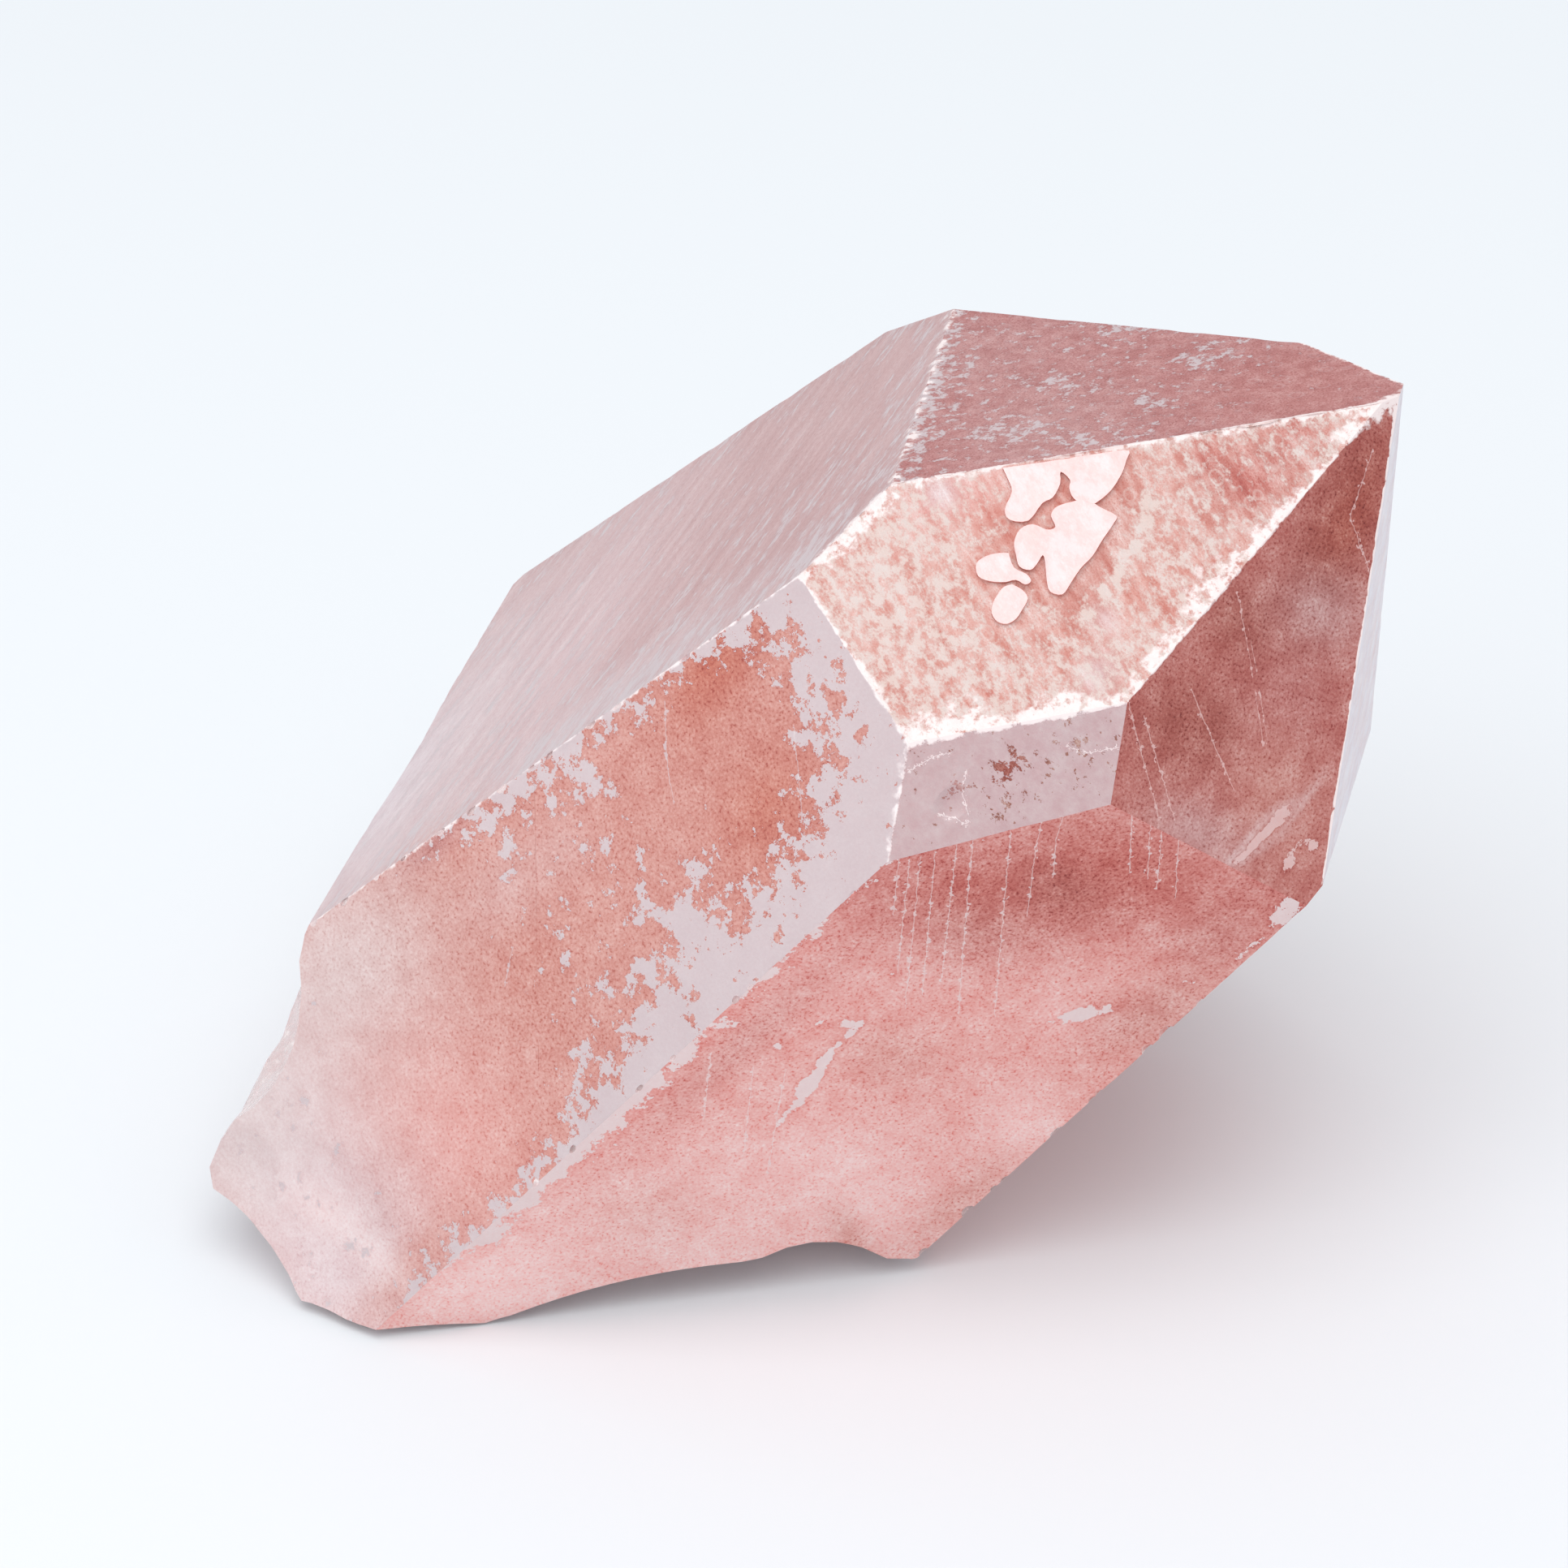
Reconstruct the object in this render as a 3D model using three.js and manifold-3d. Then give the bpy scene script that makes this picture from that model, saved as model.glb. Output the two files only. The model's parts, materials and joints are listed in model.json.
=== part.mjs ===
// A single quartz crystal: one terminated point, broken off its matrix and
// lying on the break. Millimetres, +Z up, -Y is the side with the large front
// facets, origin at the middle of the underside of the bounding box.
//
// The point is made the way quartz grows: every facet is a lattice plane at its
// own distance from the heart of the crystal, so facets that grew slowly are
// large. The break at the lower end is then struck off, and the small growth
// plates and chips are added and cut on the finished facets.

import * as THREE from 'three';
import { mergeVertices } from 'three/addons/utils/BufferGeometryUtils.js';
import Module from 'manifold-3d';

const wasm = await Module();
wasm.setup();

// ---------------------------------------------------------------- dimensions

// Quartz lattice: the axial ratio fixes how steeply the end facets lean.
const AXIAL_RATIO = 1.1001;
const PRISM = 90;
const RHOMB = THREE.MathUtils.radToDeg(Math.atan((2 * AXIAL_RATIO) / Math.sqrt(3)));
const TRAPEZOHEDRON = THREE.MathUtils.radToDeg(Math.atan(2 * AXIAL_RATIO));

// Facets: angle of the facet normal from the crystal's long axis (form plus the
// small lean that growth steps give it), azimuth round that axis in degrees,
// and distance from the heart in millimetres.
const FACETS = {
  prismFront: { form: PRISM, lean: -1.4, azimuth: 0.6, distance: 21.4 },
  prismUnder: { form: PRISM, lean: -2.7, azimuth: 60.1, distance: 23.4 },
  prismRight: { form: PRISM, lean: -2.4, azimuth: 120.1, distance: 23.7 },
  prismBack: { form: PRISM, lean: -1.8, azimuth: 180, distance: 29 },
  prismRear: { form: PRISM, lean: -12.2, azimuth: -119.9, distance: 29.2 },
  prismTop: { form: PRISM, lean: -5.4, azimuth: -58.9, distance: 14.5 },
  rhombFront: { form: RHOMB, lean: 0.4, azimuth: 0.2, distance: 28.8 },
  rhombUnder: { form: RHOMB, lean: 0, azimuth: 59.9, distance: 33 },
  rhombRight: { form: RHOMB, lean: -0.6, azimuth: 120.3, distance: 34.1 },
  rhombBack: { form: RHOMB, lean: 0.1, azimuth: -179.9, distance: 31.3 },
  rhombRear: { form: RHOMB, lean: -1.2, azimuth: -119.5, distance: 30.8 },
  rhombTop: { form: RHOMB, lean: -0.1, azimuth: -62, distance: 25 },
  cornerFacet: { form: TRAPEZOHEDRON, lean: 0.2, azimuth: 29.6, distance: 29.1 },
};

// How the point lies: its long axis leans up to the right.
const AXIS_ELEVATION = 46.9;
const AXIS_HEADING = -10.4;
const AXIS_SPIN = -123.2;
const HEART_HEIGHT = 24;

// Flats of the break: the large wall struck nearly square across the lower end,
// the foot that undercuts it, the narrow flat between those two and the heel at
// the rear. Normals and distances are in the resting pose, from the heart.
const BREAK_WALL = { normal: [-0.913, 0.225, 0.342], distance: 22.6 };
const BREAK_FOOT = { normal: [-0.6, 0.02, -0.8], distance: 35.7 };
const BREAK_TOE = { normal: [-0.946, 0.153, -0.286], distance: 36.0 };
const BREAK_HEEL = { normal: [-0.3, 0.85, -0.43], distance: 34.6 };
const BREAK_CELL = 1.5;
const RIPPLE_SPACING = 3.2;

// Shell-shaped hollows of each broken flat: centre in its plane (mm from the
// foot of the heart's perpendicular), half-widths, depth and ripple height.
const WALL_SHELLS = [
  { at: [-12, -22], half: [11, 8.5], depth: 1.8, ripple: 0.16 },
  { at: [5, -25], half: [9, 10], depth: 1.4, ripple: 0.14 },
  { at: [-24, -27], half: [9, 8], depth: 1.1, ripple: 0.1 },
  { at: [18, -19], half: [6.5, 6], depth: 2.2, ripple: 0 },
  { at: [-4, -13], half: [9, 4], depth: 0.35, ripple: 0 },
];
const FOOT_SHELLS = [
  { at: [6, -2], half: [8, 7], depth: 0.8, ripple: 0.08 },
  { at: [-6, -3], half: [9, 6], depth: 1, ripple: 0.1 },
  { at: [13.4, -18.6], half: [4.5, 5], depth: 0.8, ripple: 0 },
];
const HEEL_SHELLS = [
  { at: [-10, -12], half: [12, 9], depth: 1.3, ripple: 0.13 },
  { at: [6, -16], half: [10, 8], depth: 1, ripple: 0.1 },
];

// Hollows of the underside, in resting X and Y from the heart. What they leave
// is the flat that the crystal stands on.
const UNDERSIDE_SHELLS = [
  { at: [-4, -22.5], half: [14, 13], depth: 3, ripple: 0 },
  { at: [1.6, -20.5], half: [6.5, 9], depth: 4, ripple: 0 },
  { at: [9.5, -18.5], half: [5, 7], depth: 1.6, ripple: 0 },
  { at: [-8, 12], half: [10, 13], depth: 1.5, ripple: 0.1 },
  { at: [3, 20], half: [6, 9], depth: 1.1, ripple: 0.08 },
  { at: [-24, -25], half: [8, 7], depth: 0.8, ripple: 0 },
  { at: [-29, -22], half: [4.5, 5], depth: 0.95, ripple: 0 },
];

// Growth plates on the front end facet: outline points in the plane of the
// facet, X across and Y towards the tip, closed by a smooth curve. The first
// reaches the upper edge and has a cleft in it, the second grows out of it.
const PLATE_HEIGHT = 0.25;
const PLATE_ROOT = 0.6;
const STEPS_PER_POINT = 3;
const PLATES = [
  [
    [-1.8, 16.2], [-1.1, 16.1], [-0.3, 15.9], [0.4, 15], [1.1, 14.9], [1.7, 15.8], [1.2, 17],
    [1.2, 17.7], [0.7, 18.5], [0.1, 18.9], [0.8, 19.1], [1.2, 18.8], [1.9, 18.7], [2.7, 19.2],
    [2.6, 20.6], [2, 21.8], [1.4, 22.5], [1, 22.9], [0.5, 21.9], [-0.3, 19.9], [-1.2, 17.7],
  ],
  [
    [2.2, 19.3], [1.9, 18.2], [1.8, 17.5], [2.1, 17], [2.8, 16.9], [2.7, 16.4], [2, 15.9],
    [1.9, 15.1], [2.4, 14.4], [3.1, 14.1], [3.8, 13.9], [4.3, 14.3], [4.2, 14.8], [3.9, 15.4],
    [4.5, 15.2], [5.3, 14.8], [6, 14.6], [6.5, 15.1], [6.2, 15.8], [5.7, 16.8], [5.4, 17.8],
    [4.9, 18.7], [4.3, 19.9], [4, 20.2], [3.1, 19.7],
  ],
  [
    [2.8, 13.8], [2.5, 13.3], [2.3, 12.6], [2.4, 11.9], [3.1, 11.6], [3.7, 12], [4.2, 12.7],
    [4.4, 13.3], [4.9, 13.6], [4.9, 14], [4.4, 14], [3.7, 13.6],
  ],
  [
    [4.5, 13], [4.4, 12.5], [4.6, 12], [4.9, 11.5], [5.4, 11.1], [6, 11.1], [6.4, 11.5],
    [6.4, 12.1], [6.1, 12.7], [5.7, 13.3], [5.1, 13.3],
  ],
];

// Chips along the edges where two facets meet, as evenly spread random bites.
const CHIP_SEED = 7;
const CHIPPED_EDGES = [
  { between: ['prismFront', 'prismTop'], from: -24, to: 17, count: 16, size: 0.28 },
  { between: ['prismFront', 'prismUnder'], from: -20, to: 12, count: 7, size: 0.25 },
  { between: ['prismUnder', 'prismRight'], from: -10, to: 18, count: 10, size: 0.35 },
  { between: ['prismRight', 'prismBack'], from: -8, to: 10, count: 6, size: 0.7 },
  { between: ['prismBack', 'prismRear'], from: -16, to: 0, count: 6, size: 0.7 },
];

// Shallow round flakes struck out of single facets: centre in the plane of the
// facet, half-widths, depth and the height of the rings in the hollow.
const FLAKE_SIDES = 20;
const FLAKE_RINGS = 7;
const FLAKE_LIP = 1.5;
const FLAKES = [
  { facet: 'prismFront', at: [9.2, -30.4], half: [6.6, 4.4], depth: 0.3, ripple: 0.04 },
  { facet: 'prismFront', at: [3.4, -33.4], half: [3.2, 2.6], depth: 0.3, ripple: 0.03 },
  { facet: 'cornerFacet', at: [2.3, 8.2], half: [0.9, 1.2], depth: 0.22, ripple: 0 },
  { facet: 'prismRight', at: [-6, -2], half: [3.5, 5], depth: 0.5, ripple: 0.05 },
  { facet: 'prismBack', at: [4, 6], half: [3, 4], depth: 0.4, ripple: 0.04 },
];

// Lone bites, in the resting pose from the heart: one out of the front edge of
// the break, and the knocked tip.
const NICKS = [
  { centre: [-30.6, -11.4, -8.2], radius: [1.6, 2.6, 1.5] },
  { centre: [36.3, -9, 32], radius: [1.3, 1.3, 1.3] },
];

const BLOCK = 200;

// ------------------------------------------------------------- small helpers

// A closed three.js geometry as a solid that can be joined and cut.
function toSolid(geometry) {
  const bare = geometry.index ? geometry.toNonIndexed() : geometry.clone();
  bare.deleteAttribute('normal');
  bare.deleteAttribute('uv');
  const merged = mergeVertices(bare, 1e-5);
  const mesh = new wasm.Mesh({
    numProp: 3,
    vertProperties: new Float32Array(merged.attributes.position.array),
    triVerts: new Uint32Array(merged.index.array),
  });
  return new wasm.Manifold(mesh);
}

// The solid back as a geometry with flat shading.
function toGeometry(solid) {
  const mesh = solid.getMesh();
  const geometry = new THREE.BufferGeometry();
  geometry.setAttribute('position', new THREE.BufferAttribute(mesh.vertProperties, 3));
  geometry.setIndex(new THREE.BufferAttribute(mesh.triVerts, 1));
  return geometry;
}

// Repeatable random numbers from 0 to 1.
function seededRandom(seed) {
  let state = seed;
  return () => {
    state = (state * 16807) % 2147483647;
    return state / 2147483647;
  };
}

// Unit normal of a facet in the crystal's own frame, long axis along Z.
function facetNormal({ form, lean, azimuth }) {
  const polar = THREE.MathUtils.degToRad(form + lean);
  const turn = THREE.MathUtils.degToRad(azimuth);
  return new THREE.Vector3(
    Math.sin(polar) * Math.cos(turn),
    Math.sin(polar) * Math.sin(turn),
    Math.cos(polar),
  );
}

// Frame standing on a plane: Z along the normal, Y as near to `up` as it goes.
function planeFrame(normal, distance, up) {
  const z = normal.clone().normalize();
  const y = up.clone().addScaledVector(z, -up.dot(z)).normalize();
  const x = new THREE.Vector3().crossVectors(y, z);
  const frame = new THREE.Matrix4().makeBasis(x, y, z);
  return frame.setPosition(z.clone().multiplyScalar(distance));
}

// ------------------------------------------------------------ crystal growth

// Everything outside one facet, as a block whose near side is the facet.
function outsideOf(facet) {
  const block = new THREE.BoxGeometry(BLOCK, BLOCK, BLOCK);
  block.translate(0, 0, BLOCK / 2);
  block.applyMatrix4(planeFrame(facetNormal(facet), facet.distance, new THREE.Vector3(0.3, 0.2, 1)));
  return toSolid(block);
}

// The point, cut facet by facet from a block.
function growPoint() {
  let crystal = toSolid(new THREE.BoxGeometry(BLOCK / 2, BLOCK / 2, BLOCK / 2));
  for (const facet of Object.values(FACETS)) {
    crystal = crystal.subtract(outsideOf(facet));
  }
  return crystal;
}

// Frame in the plane of a facet: Y towards the tip.
function facetFrame(facet) {
  return planeFrame(facetNormal(facet), facet.distance, new THREE.Vector3(0, 0, 1));
}

// Thin plates left by the last growth on the front end facet.
function addPlates(crystal) {
  const frame = facetFrame(FACETS.rhombFront);
  let result = crystal;
  for (const points of PLATES) {
    const curve = new THREE.SplineCurve([...points, points[0]].map(([x, y]) => new THREE.Vector2(x, y)));
    const outline = new THREE.Shape(curve.getPoints(STEPS_PER_POINT * points.length).slice(0, -1));
    const plate = new THREE.ExtrudeGeometry(outline, {
      depth: PLATE_HEIGHT + PLATE_ROOT,
      bevelEnabled: false,
      steps: 1,
    });
    plate.translate(0, 0, -PLATE_ROOT);
    plate.applyMatrix4(frame);
    result = result.add(toSolid(plate));
  }
  return result;
}

// Round hollows with rings, as a lens let into the facet.
function strikeFlakes(crystal) {
  let result = crystal;
  for (const { facet, at, half, depth, ripple } of FLAKES) {
    const profile = [];
    for (let ring = 0; ring <= FLAKE_RINGS; ring += 1) {
      const reach = ring / FLAKE_RINGS;
      const rings = ripple * Math.cos(Math.PI * ring) * (1 - reach);
      profile.push(new THREE.Vector2(reach, -depth * (1 - reach * reach) - rings));
    }
    profile.push(new THREE.Vector2(1 + depth, FLAKE_LIP * depth));
    profile.push(new THREE.Vector2(0, FLAKE_LIP * depth));
    const lens = new THREE.LatheGeometry(profile, FLAKE_SIDES);
    lens.rotateX(Math.PI / 2);
    lens.scale(half[0], half[1], 1);
    lens.translate(at[0], at[1], 0);
    lens.applyMatrix4(facetFrame(FACETS[facet]));
    result = result.subtract(toSolid(lens));
  }
  return result;
}

// Point on the line where two facets meet, at a height along the long axis.
function edgePoint(first, second, height) {
  const a = facetNormal(first);
  const b = facetNormal(second);
  const axis = new THREE.Vector3(0, 0, 1);
  const rows = new THREE.Matrix3().set(...a.toArray(), ...b.toArray(), ...axis.toArray());
  return new THREE.Vector3(first.distance, second.distance, height).applyMatrix3(rows.invert());
}

// Small conchoidal bites along the edges.
function chipEdges(crystal) {
  const random = seededRandom(CHIP_SEED);
  let result = crystal;
  for (const { between, from, to, count, size } of CHIPPED_EDGES) {
    const [first, second] = between.map((name) => FACETS[name]);
    for (let index = 0; index < count; index += 1) {
      const height = THREE.MathUtils.lerp(from, to, (index + random()) / count);
      const radius = size * (0.6 + 0.8 * random());
      const bite = new THREE.IcosahedronGeometry(radius, 1);
      bite.scale(1, 1, 1.2 + random());
      bite.rotateX(random());
      const outward = facetNormal(first).add(facetNormal(second)).normalize();
      const centre = edgePoint(first, second, height).addScaledVector(outward, radius * 0.45);
      bite.translate(centre.x, centre.y, centre.z);
      result = result.subtract(toSolid(bite));
    }
  }
  return result;
}

// --------------------------------------------------------------- broken end

// Depth of the deepest shell-shaped hollow over a point of a broken plane.
function hollowAt(shells, x, y) {
  let deepest = 0;
  for (const { at, half, depth, ripple } of shells) {
    const reach = Math.hypot((x - at[0]) / half[0], (y - at[1]) / half[1]);
    if (reach < 1) {
      const rings = Math.cos((2 * Math.PI * reach * half[0]) / RIPPLE_SPACING);
      deepest = Math.max(deepest, depth * (1 - reach * reach) + ripple * rings);
    }
  }
  return deepest;
}

// A block whose near side is the broken surface, to be taken off the crystal.
function brokenAway({ normal, distance }, shells, up) {
  const reach = 45;
  const cells = Math.round((2 * reach) / BREAK_CELL);
  const block = new THREE.BoxGeometry(2 * reach, 2 * reach, reach, cells, cells, 1);
  block.translate(0, 0, reach / 2);
  const place = block.attributes.position;
  for (let index = 0; index < place.count; index += 1) {
    if (place.getZ(index) < reach / 2) {
      place.setZ(index, -hollowAt(shells, place.getX(index), place.getY(index)));
    }
  }
  block.applyMatrix4(planeFrame(new THREE.Vector3(...normal), distance, up));
  return toSolid(block);
}

function strikeOff(crystal) {
  const top = new THREE.Vector3(0, 0, 1);
  const back = new THREE.Vector3(0, 1, 0);
  const floor = { normal: [0, 0, -1], distance: HEART_HEIGHT };
  const turned = UNDERSIDE_SHELLS.map((shell) => ({ ...shell, at: [-shell.at[0], shell.at[1]] }));
  return crystal
    .subtract(brokenAway(BREAK_WALL, WALL_SHELLS, top))
    .subtract(brokenAway(BREAK_FOOT, FOOT_SHELLS, back))
    .subtract(brokenAway(BREAK_TOE, [], top))
    .subtract(brokenAway(BREAK_HEEL, HEEL_SHELLS, top))
    .subtract(brokenAway(floor, turned, back));
}

function cutNicks(crystal) {
  let result = crystal;
  for (const { centre, radius } of NICKS) {
    const nick = new THREE.IcosahedronGeometry(1, 2);
    nick.scale(...radius);
    nick.translate(...centre);
    result = result.subtract(toSolid(nick));
  }
  return result;
}

// ------------------------------------------------------------------ assembly

// Turn from the crystal's own frame to the way it lies.
function restingTurn() {
  const radians = THREE.MathUtils.degToRad;
  return new THREE.Matrix4()
    .makeRotationZ(radians(AXIS_HEADING))
    .multiply(new THREE.Matrix4().makeRotationY(radians(90 - AXIS_ELEVATION)))
    .multiply(new THREE.Matrix4().makeRotationZ(radians(AXIS_SPIN)));
}

const point = toGeometry(chipEdges(strikeFlakes(addPlates(growPoint()))));
point.applyMatrix4(restingTurn());
const geometry = toGeometry(cutNicks(strikeOff(toSolid(point))));
geometry.computeBoundingBox();
const middle = geometry.boundingBox.getCenter(new THREE.Vector3());
geometry.translate(-middle.x, -middle.y, -geometry.boundingBox.min.z);

const quartz = new THREE.MeshStandardMaterial({
  color: 0xc98a84,
  roughness: 0.35,
  metalness: 0,
});
const crystal = new THREE.Mesh(geometry, quartz);
crystal.name = 'crystal';

const group = new THREE.Group();
group.add(crystal);

export default group;
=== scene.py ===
"""A single quartz point, stained by iron, lying on its broken end."""
import functools
import itertools
import json
import math
from types import SimpleNamespace

import bmesh
import bpy
import numpy as np
from mathutils import Matrix, Vector, kdtree

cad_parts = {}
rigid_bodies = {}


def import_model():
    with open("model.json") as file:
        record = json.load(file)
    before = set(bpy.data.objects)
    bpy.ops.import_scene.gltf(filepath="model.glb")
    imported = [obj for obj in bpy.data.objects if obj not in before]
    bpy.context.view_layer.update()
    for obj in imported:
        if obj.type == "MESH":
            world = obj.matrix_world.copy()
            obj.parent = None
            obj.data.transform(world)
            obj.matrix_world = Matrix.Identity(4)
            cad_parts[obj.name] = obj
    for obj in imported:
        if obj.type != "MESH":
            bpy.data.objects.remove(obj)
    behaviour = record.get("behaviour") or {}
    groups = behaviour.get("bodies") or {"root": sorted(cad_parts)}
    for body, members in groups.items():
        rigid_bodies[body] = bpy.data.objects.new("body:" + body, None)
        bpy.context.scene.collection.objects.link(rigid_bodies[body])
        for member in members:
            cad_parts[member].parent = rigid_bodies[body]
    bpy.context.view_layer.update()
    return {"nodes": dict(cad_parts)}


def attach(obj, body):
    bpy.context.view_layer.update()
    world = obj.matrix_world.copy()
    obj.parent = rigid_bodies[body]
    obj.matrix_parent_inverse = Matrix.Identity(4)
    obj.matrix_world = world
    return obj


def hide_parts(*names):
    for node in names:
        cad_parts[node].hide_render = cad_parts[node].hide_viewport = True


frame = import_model()

MM = 0.001

# ------------------------------------------------------------------ the pose

# The crystal's long axis, as the model holds it: how steeply it rises, where it
# heads and how far it is spun, in degrees. HEART, in mm, is the point that its
# facets are measured from.
AXIS_ELEVATION = 46.9
AXIS_HEADING = -10.4
AXIS_SPIN = -123.2
HEART = np.array((-0.49, -4.88, 24.02))

# A facet's plane is that of the largest polygon within LEAN_LIMIT of its angles.
# Other polygons belong to it when they share its plane and lean this closely.
LEAN_LIMIT = math.radians(13)
SAME_LEAN = math.radians(0.6)
SAME_PLANE = 0.03

# Growth plates stand this high on the bright facet, in mm, on sides that start
# just above it.
PLATE_HEIGHT = 0.25
PLATE_FOOT = 0.005

# Chips this far above HEART along the axis, and flakes this shallow that lean
# this little, in mm and radians, are painted as the facet beside them.
CHIP_LINE = 6.0
FLAKE_DEPTH = 0.5
FLAKE_LEAN = math.radians(20)

# Facets by the angle of their normal from the long axis and their azimuth, in degrees.
FACETS = {
    "prism_top": (90, -60),
    "prism_front": (90, 0),
    "prism_under": (90, 60),
    "prism_right": (90, 120),
    "prism_back": (90, 180),
    "prism_rear": (90, -120),
    "rhomb_top": (51.8, -60),
    "rhomb_front": (51.8, 0),
    "rhomb_under": (51.8, 60),
    "rhomb_right": (51.8, 120),
    "rhomb_back": (51.8, 180),
    "rhomb_rear": (51.8, -120),
    "corner": (65.6, 30),
}
# A polygon's kind is its number in this list.
NAMES = ["break", *FACETS, "plate", "plate_side"]

# ------------------------------------------------------------ general helpers


def crystal_turn():
    """Rotation from the crystal's own axes to the way it lies."""
    return (
        Matrix.Rotation(math.radians(AXIS_HEADING), 3, "Z")
        @ Matrix.Rotation(math.radians(90 - AXIS_ELEVATION), 3, "Y")
        @ Matrix.Rotation(math.radians(AXIS_SPIN), 3, "Z")
    )


def linear(code):
    """An sRGB hex colour as linear RGBA."""
    channels = [int(code[i : i + 2], 16) / 255 for i in (1, 3, 5)]
    return (*[c / 12.92 if c <= 0.04045 else ((c + 0.055) / 1.055) ** 2.4 for c in channels], 1.0)


def smooth(low, high, value):
    """0 below low, 1 above high and a smooth ramp between."""
    share = np.clip((value - low) / (high - low), 0, 1)
    return share * share * (3 - 2 * share)


def lattice_noise(points, cell, seed):
    """Smooth noise from -1 to 1 with bumps about one cell across."""
    place = points / cell
    base = np.floor(place).astype(np.int64)
    part = place - base
    part = part * part * (3 - 2 * part)
    total = np.zeros(len(points))
    for corner in itertools.product((0, 1), repeat=3):
        spot = base + corner
        # a number from 0 to 0xFFFF that looks random and is always the same for one spot
        mixed = spot[:, 0] * 73856093 ^ spot[:, 1] * 19349663 ^ spot[:, 2] * 83492791 ^ seed * 2654435
        mixed = (mixed ^ (mixed >> 13)) * 1274126177 & 0x7FFFFFFF
        mixed = (mixed ^ (mixed >> 16)) & 0xFFFF
        weight = np.prod(np.where(np.array(corner) == 1, part, 1 - part), axis=1)
        total += weight * mixed / 0x7FFF
    return total - 1


def fractal(points, cell, octaves, seed):
    """Lattice noise with finer and weaker copies on top."""
    total = np.zeros(len(points))
    for level in range(octaves):
        total += lattice_noise(points, cell / 2**level, seed + level) / 2**level
    return total


# ---------------------------------------------------------------- the facets


def unit(vector):
    return vector / np.linalg.norm(vector)


class Facet:
    """One flat of the crystal: its plane, and axes in it with v towards the tip."""

    def __init__(self, normal, offset, axis):
        self.normal = normal
        self.offset = offset
        self.axis = axis
        self.v = unit(axis - axis.dot(normal) * normal)
        self.u = np.cross(self.v, normal)
        self.origin = HEART + normal * (offset - normal.dot(HEART))

    def depth(self, points):
        """How far points lie below the plane, in mm."""
        return self.offset - points @ self.normal

    def place(self, points):
        """Coordinates of points in the plane, in mm."""
        return (points - self.origin) @ self.u, (points - self.origin) @ self.v

    def gap(self, other, points):
        """Distance, in this plane, from points to the edge shared with another facet."""
        lean = np.linalg.norm(np.cross(self.normal, other.normal))
        return other.depth(points) / lean


def nearest_facet(normal, directions):
    """The facet that a normal belongs to, or None."""
    best = min(directions, key=lambda name: normal.angle(directions[name]))
    return best if normal.angle(directions[best]) < LEAN_LIMIT else None


def find_facets(solid):
    """Planes of the facets, each from the largest polygon that faces its way."""
    turn = crystal_turn()
    axis = np.array(turn @ Vector((0, 0, 1)))
    directions = {}
    for name, angles in FACETS.items():
        polar, azimuth = (math.radians(angle) for angle in angles)
        spread = math.sin(polar)
        normal = (spread * math.cos(azimuth), spread * math.sin(azimuth), math.cos(polar))
        directions[name] = turn @ Vector(normal)
    largest = {}
    for face in solid.faces:
        name = nearest_facet(face.normal, directions)
        area = face.calc_area()
        if name and area > largest.get(name, (0,))[0]:
            largest[name] = (area, face)
    facets = {}
    for name, (_, face) in largest.items():
        normal = np.array(face.normal)
        offset = normal.dot(np.array(face.verts[0].co)) / MM
        facets[name] = Facet(normal, offset, axis)
    return facets


def mark_facets(solid, facets):
    """Gives each polygon the number of its facet, or 0 on the break and on chips."""
    layer = solid.faces.layers.int.new("facet")
    for face in solid.faces:
        normal = np.array(face.normal)
        middle = np.array(face.calc_center_median()) / MM
        for name, facet in facets.items():
            if normal.dot(facet.normal) < math.cos(SAME_LEAN):
                continue
            depth = facet.offset - facet.normal.dot(middle)
            if abs(depth) < SAME_PLANE:
                face[layer] = NAMES.index(name)
            elif name == "rhomb_front" and abs(depth + PLATE_HEIGHT) < SAME_PLANE:
                face[layer] = NAMES.index("plate")
        rise = -facets["rhomb_front"].depth(middle[None])[0]
        if face[layer] == 0 and PLATE_FOOT < rise < PLATE_HEIGHT:
            face[layer] = NAMES.index("plate_side")
    return layer


# ---------------------------------------------------------------- the stains

# Iron stains rock crystal from salmon to brick; where it is missing the quartz
# is lilac grey, and where the skin is etched or bruised it is white. Some of that
# white and cream is painted highlight, along narrow edges and on the bright facet.
TONES = {
    "orange": "#ca7868",
    "salmon": "#d59489",
    "rosy": "#eeaca5",
    "rose": "#cd9f9d",
    "blush": "#dcb4b0",
    "shell": "#fad0cc",
    "petal": "#f3dcdb",
    "pearl": "#e6d0d2",
    "lilac": "#e5d4d7",
    "mauve": "#e8cbcd",
    "dusty": "#bf7976",
    "terracotta": "#c76459",
    "ember": "#c66a54",
    "brick": "#c27067",
    "rust": "#ab574b",
    "sienna": "#a84a3a",
    "coral": "#e0a296",
    # cream is partly pale etched skin and partly a painted highlight of the softbox on the bright facet
    "cream": "#fbe6de",
    "chalk": "#f8ecea",
    "frost": "#e9e4ee",
    "umber": "#b5877b",
    "oyster": "#e0cfcd",
}

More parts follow.
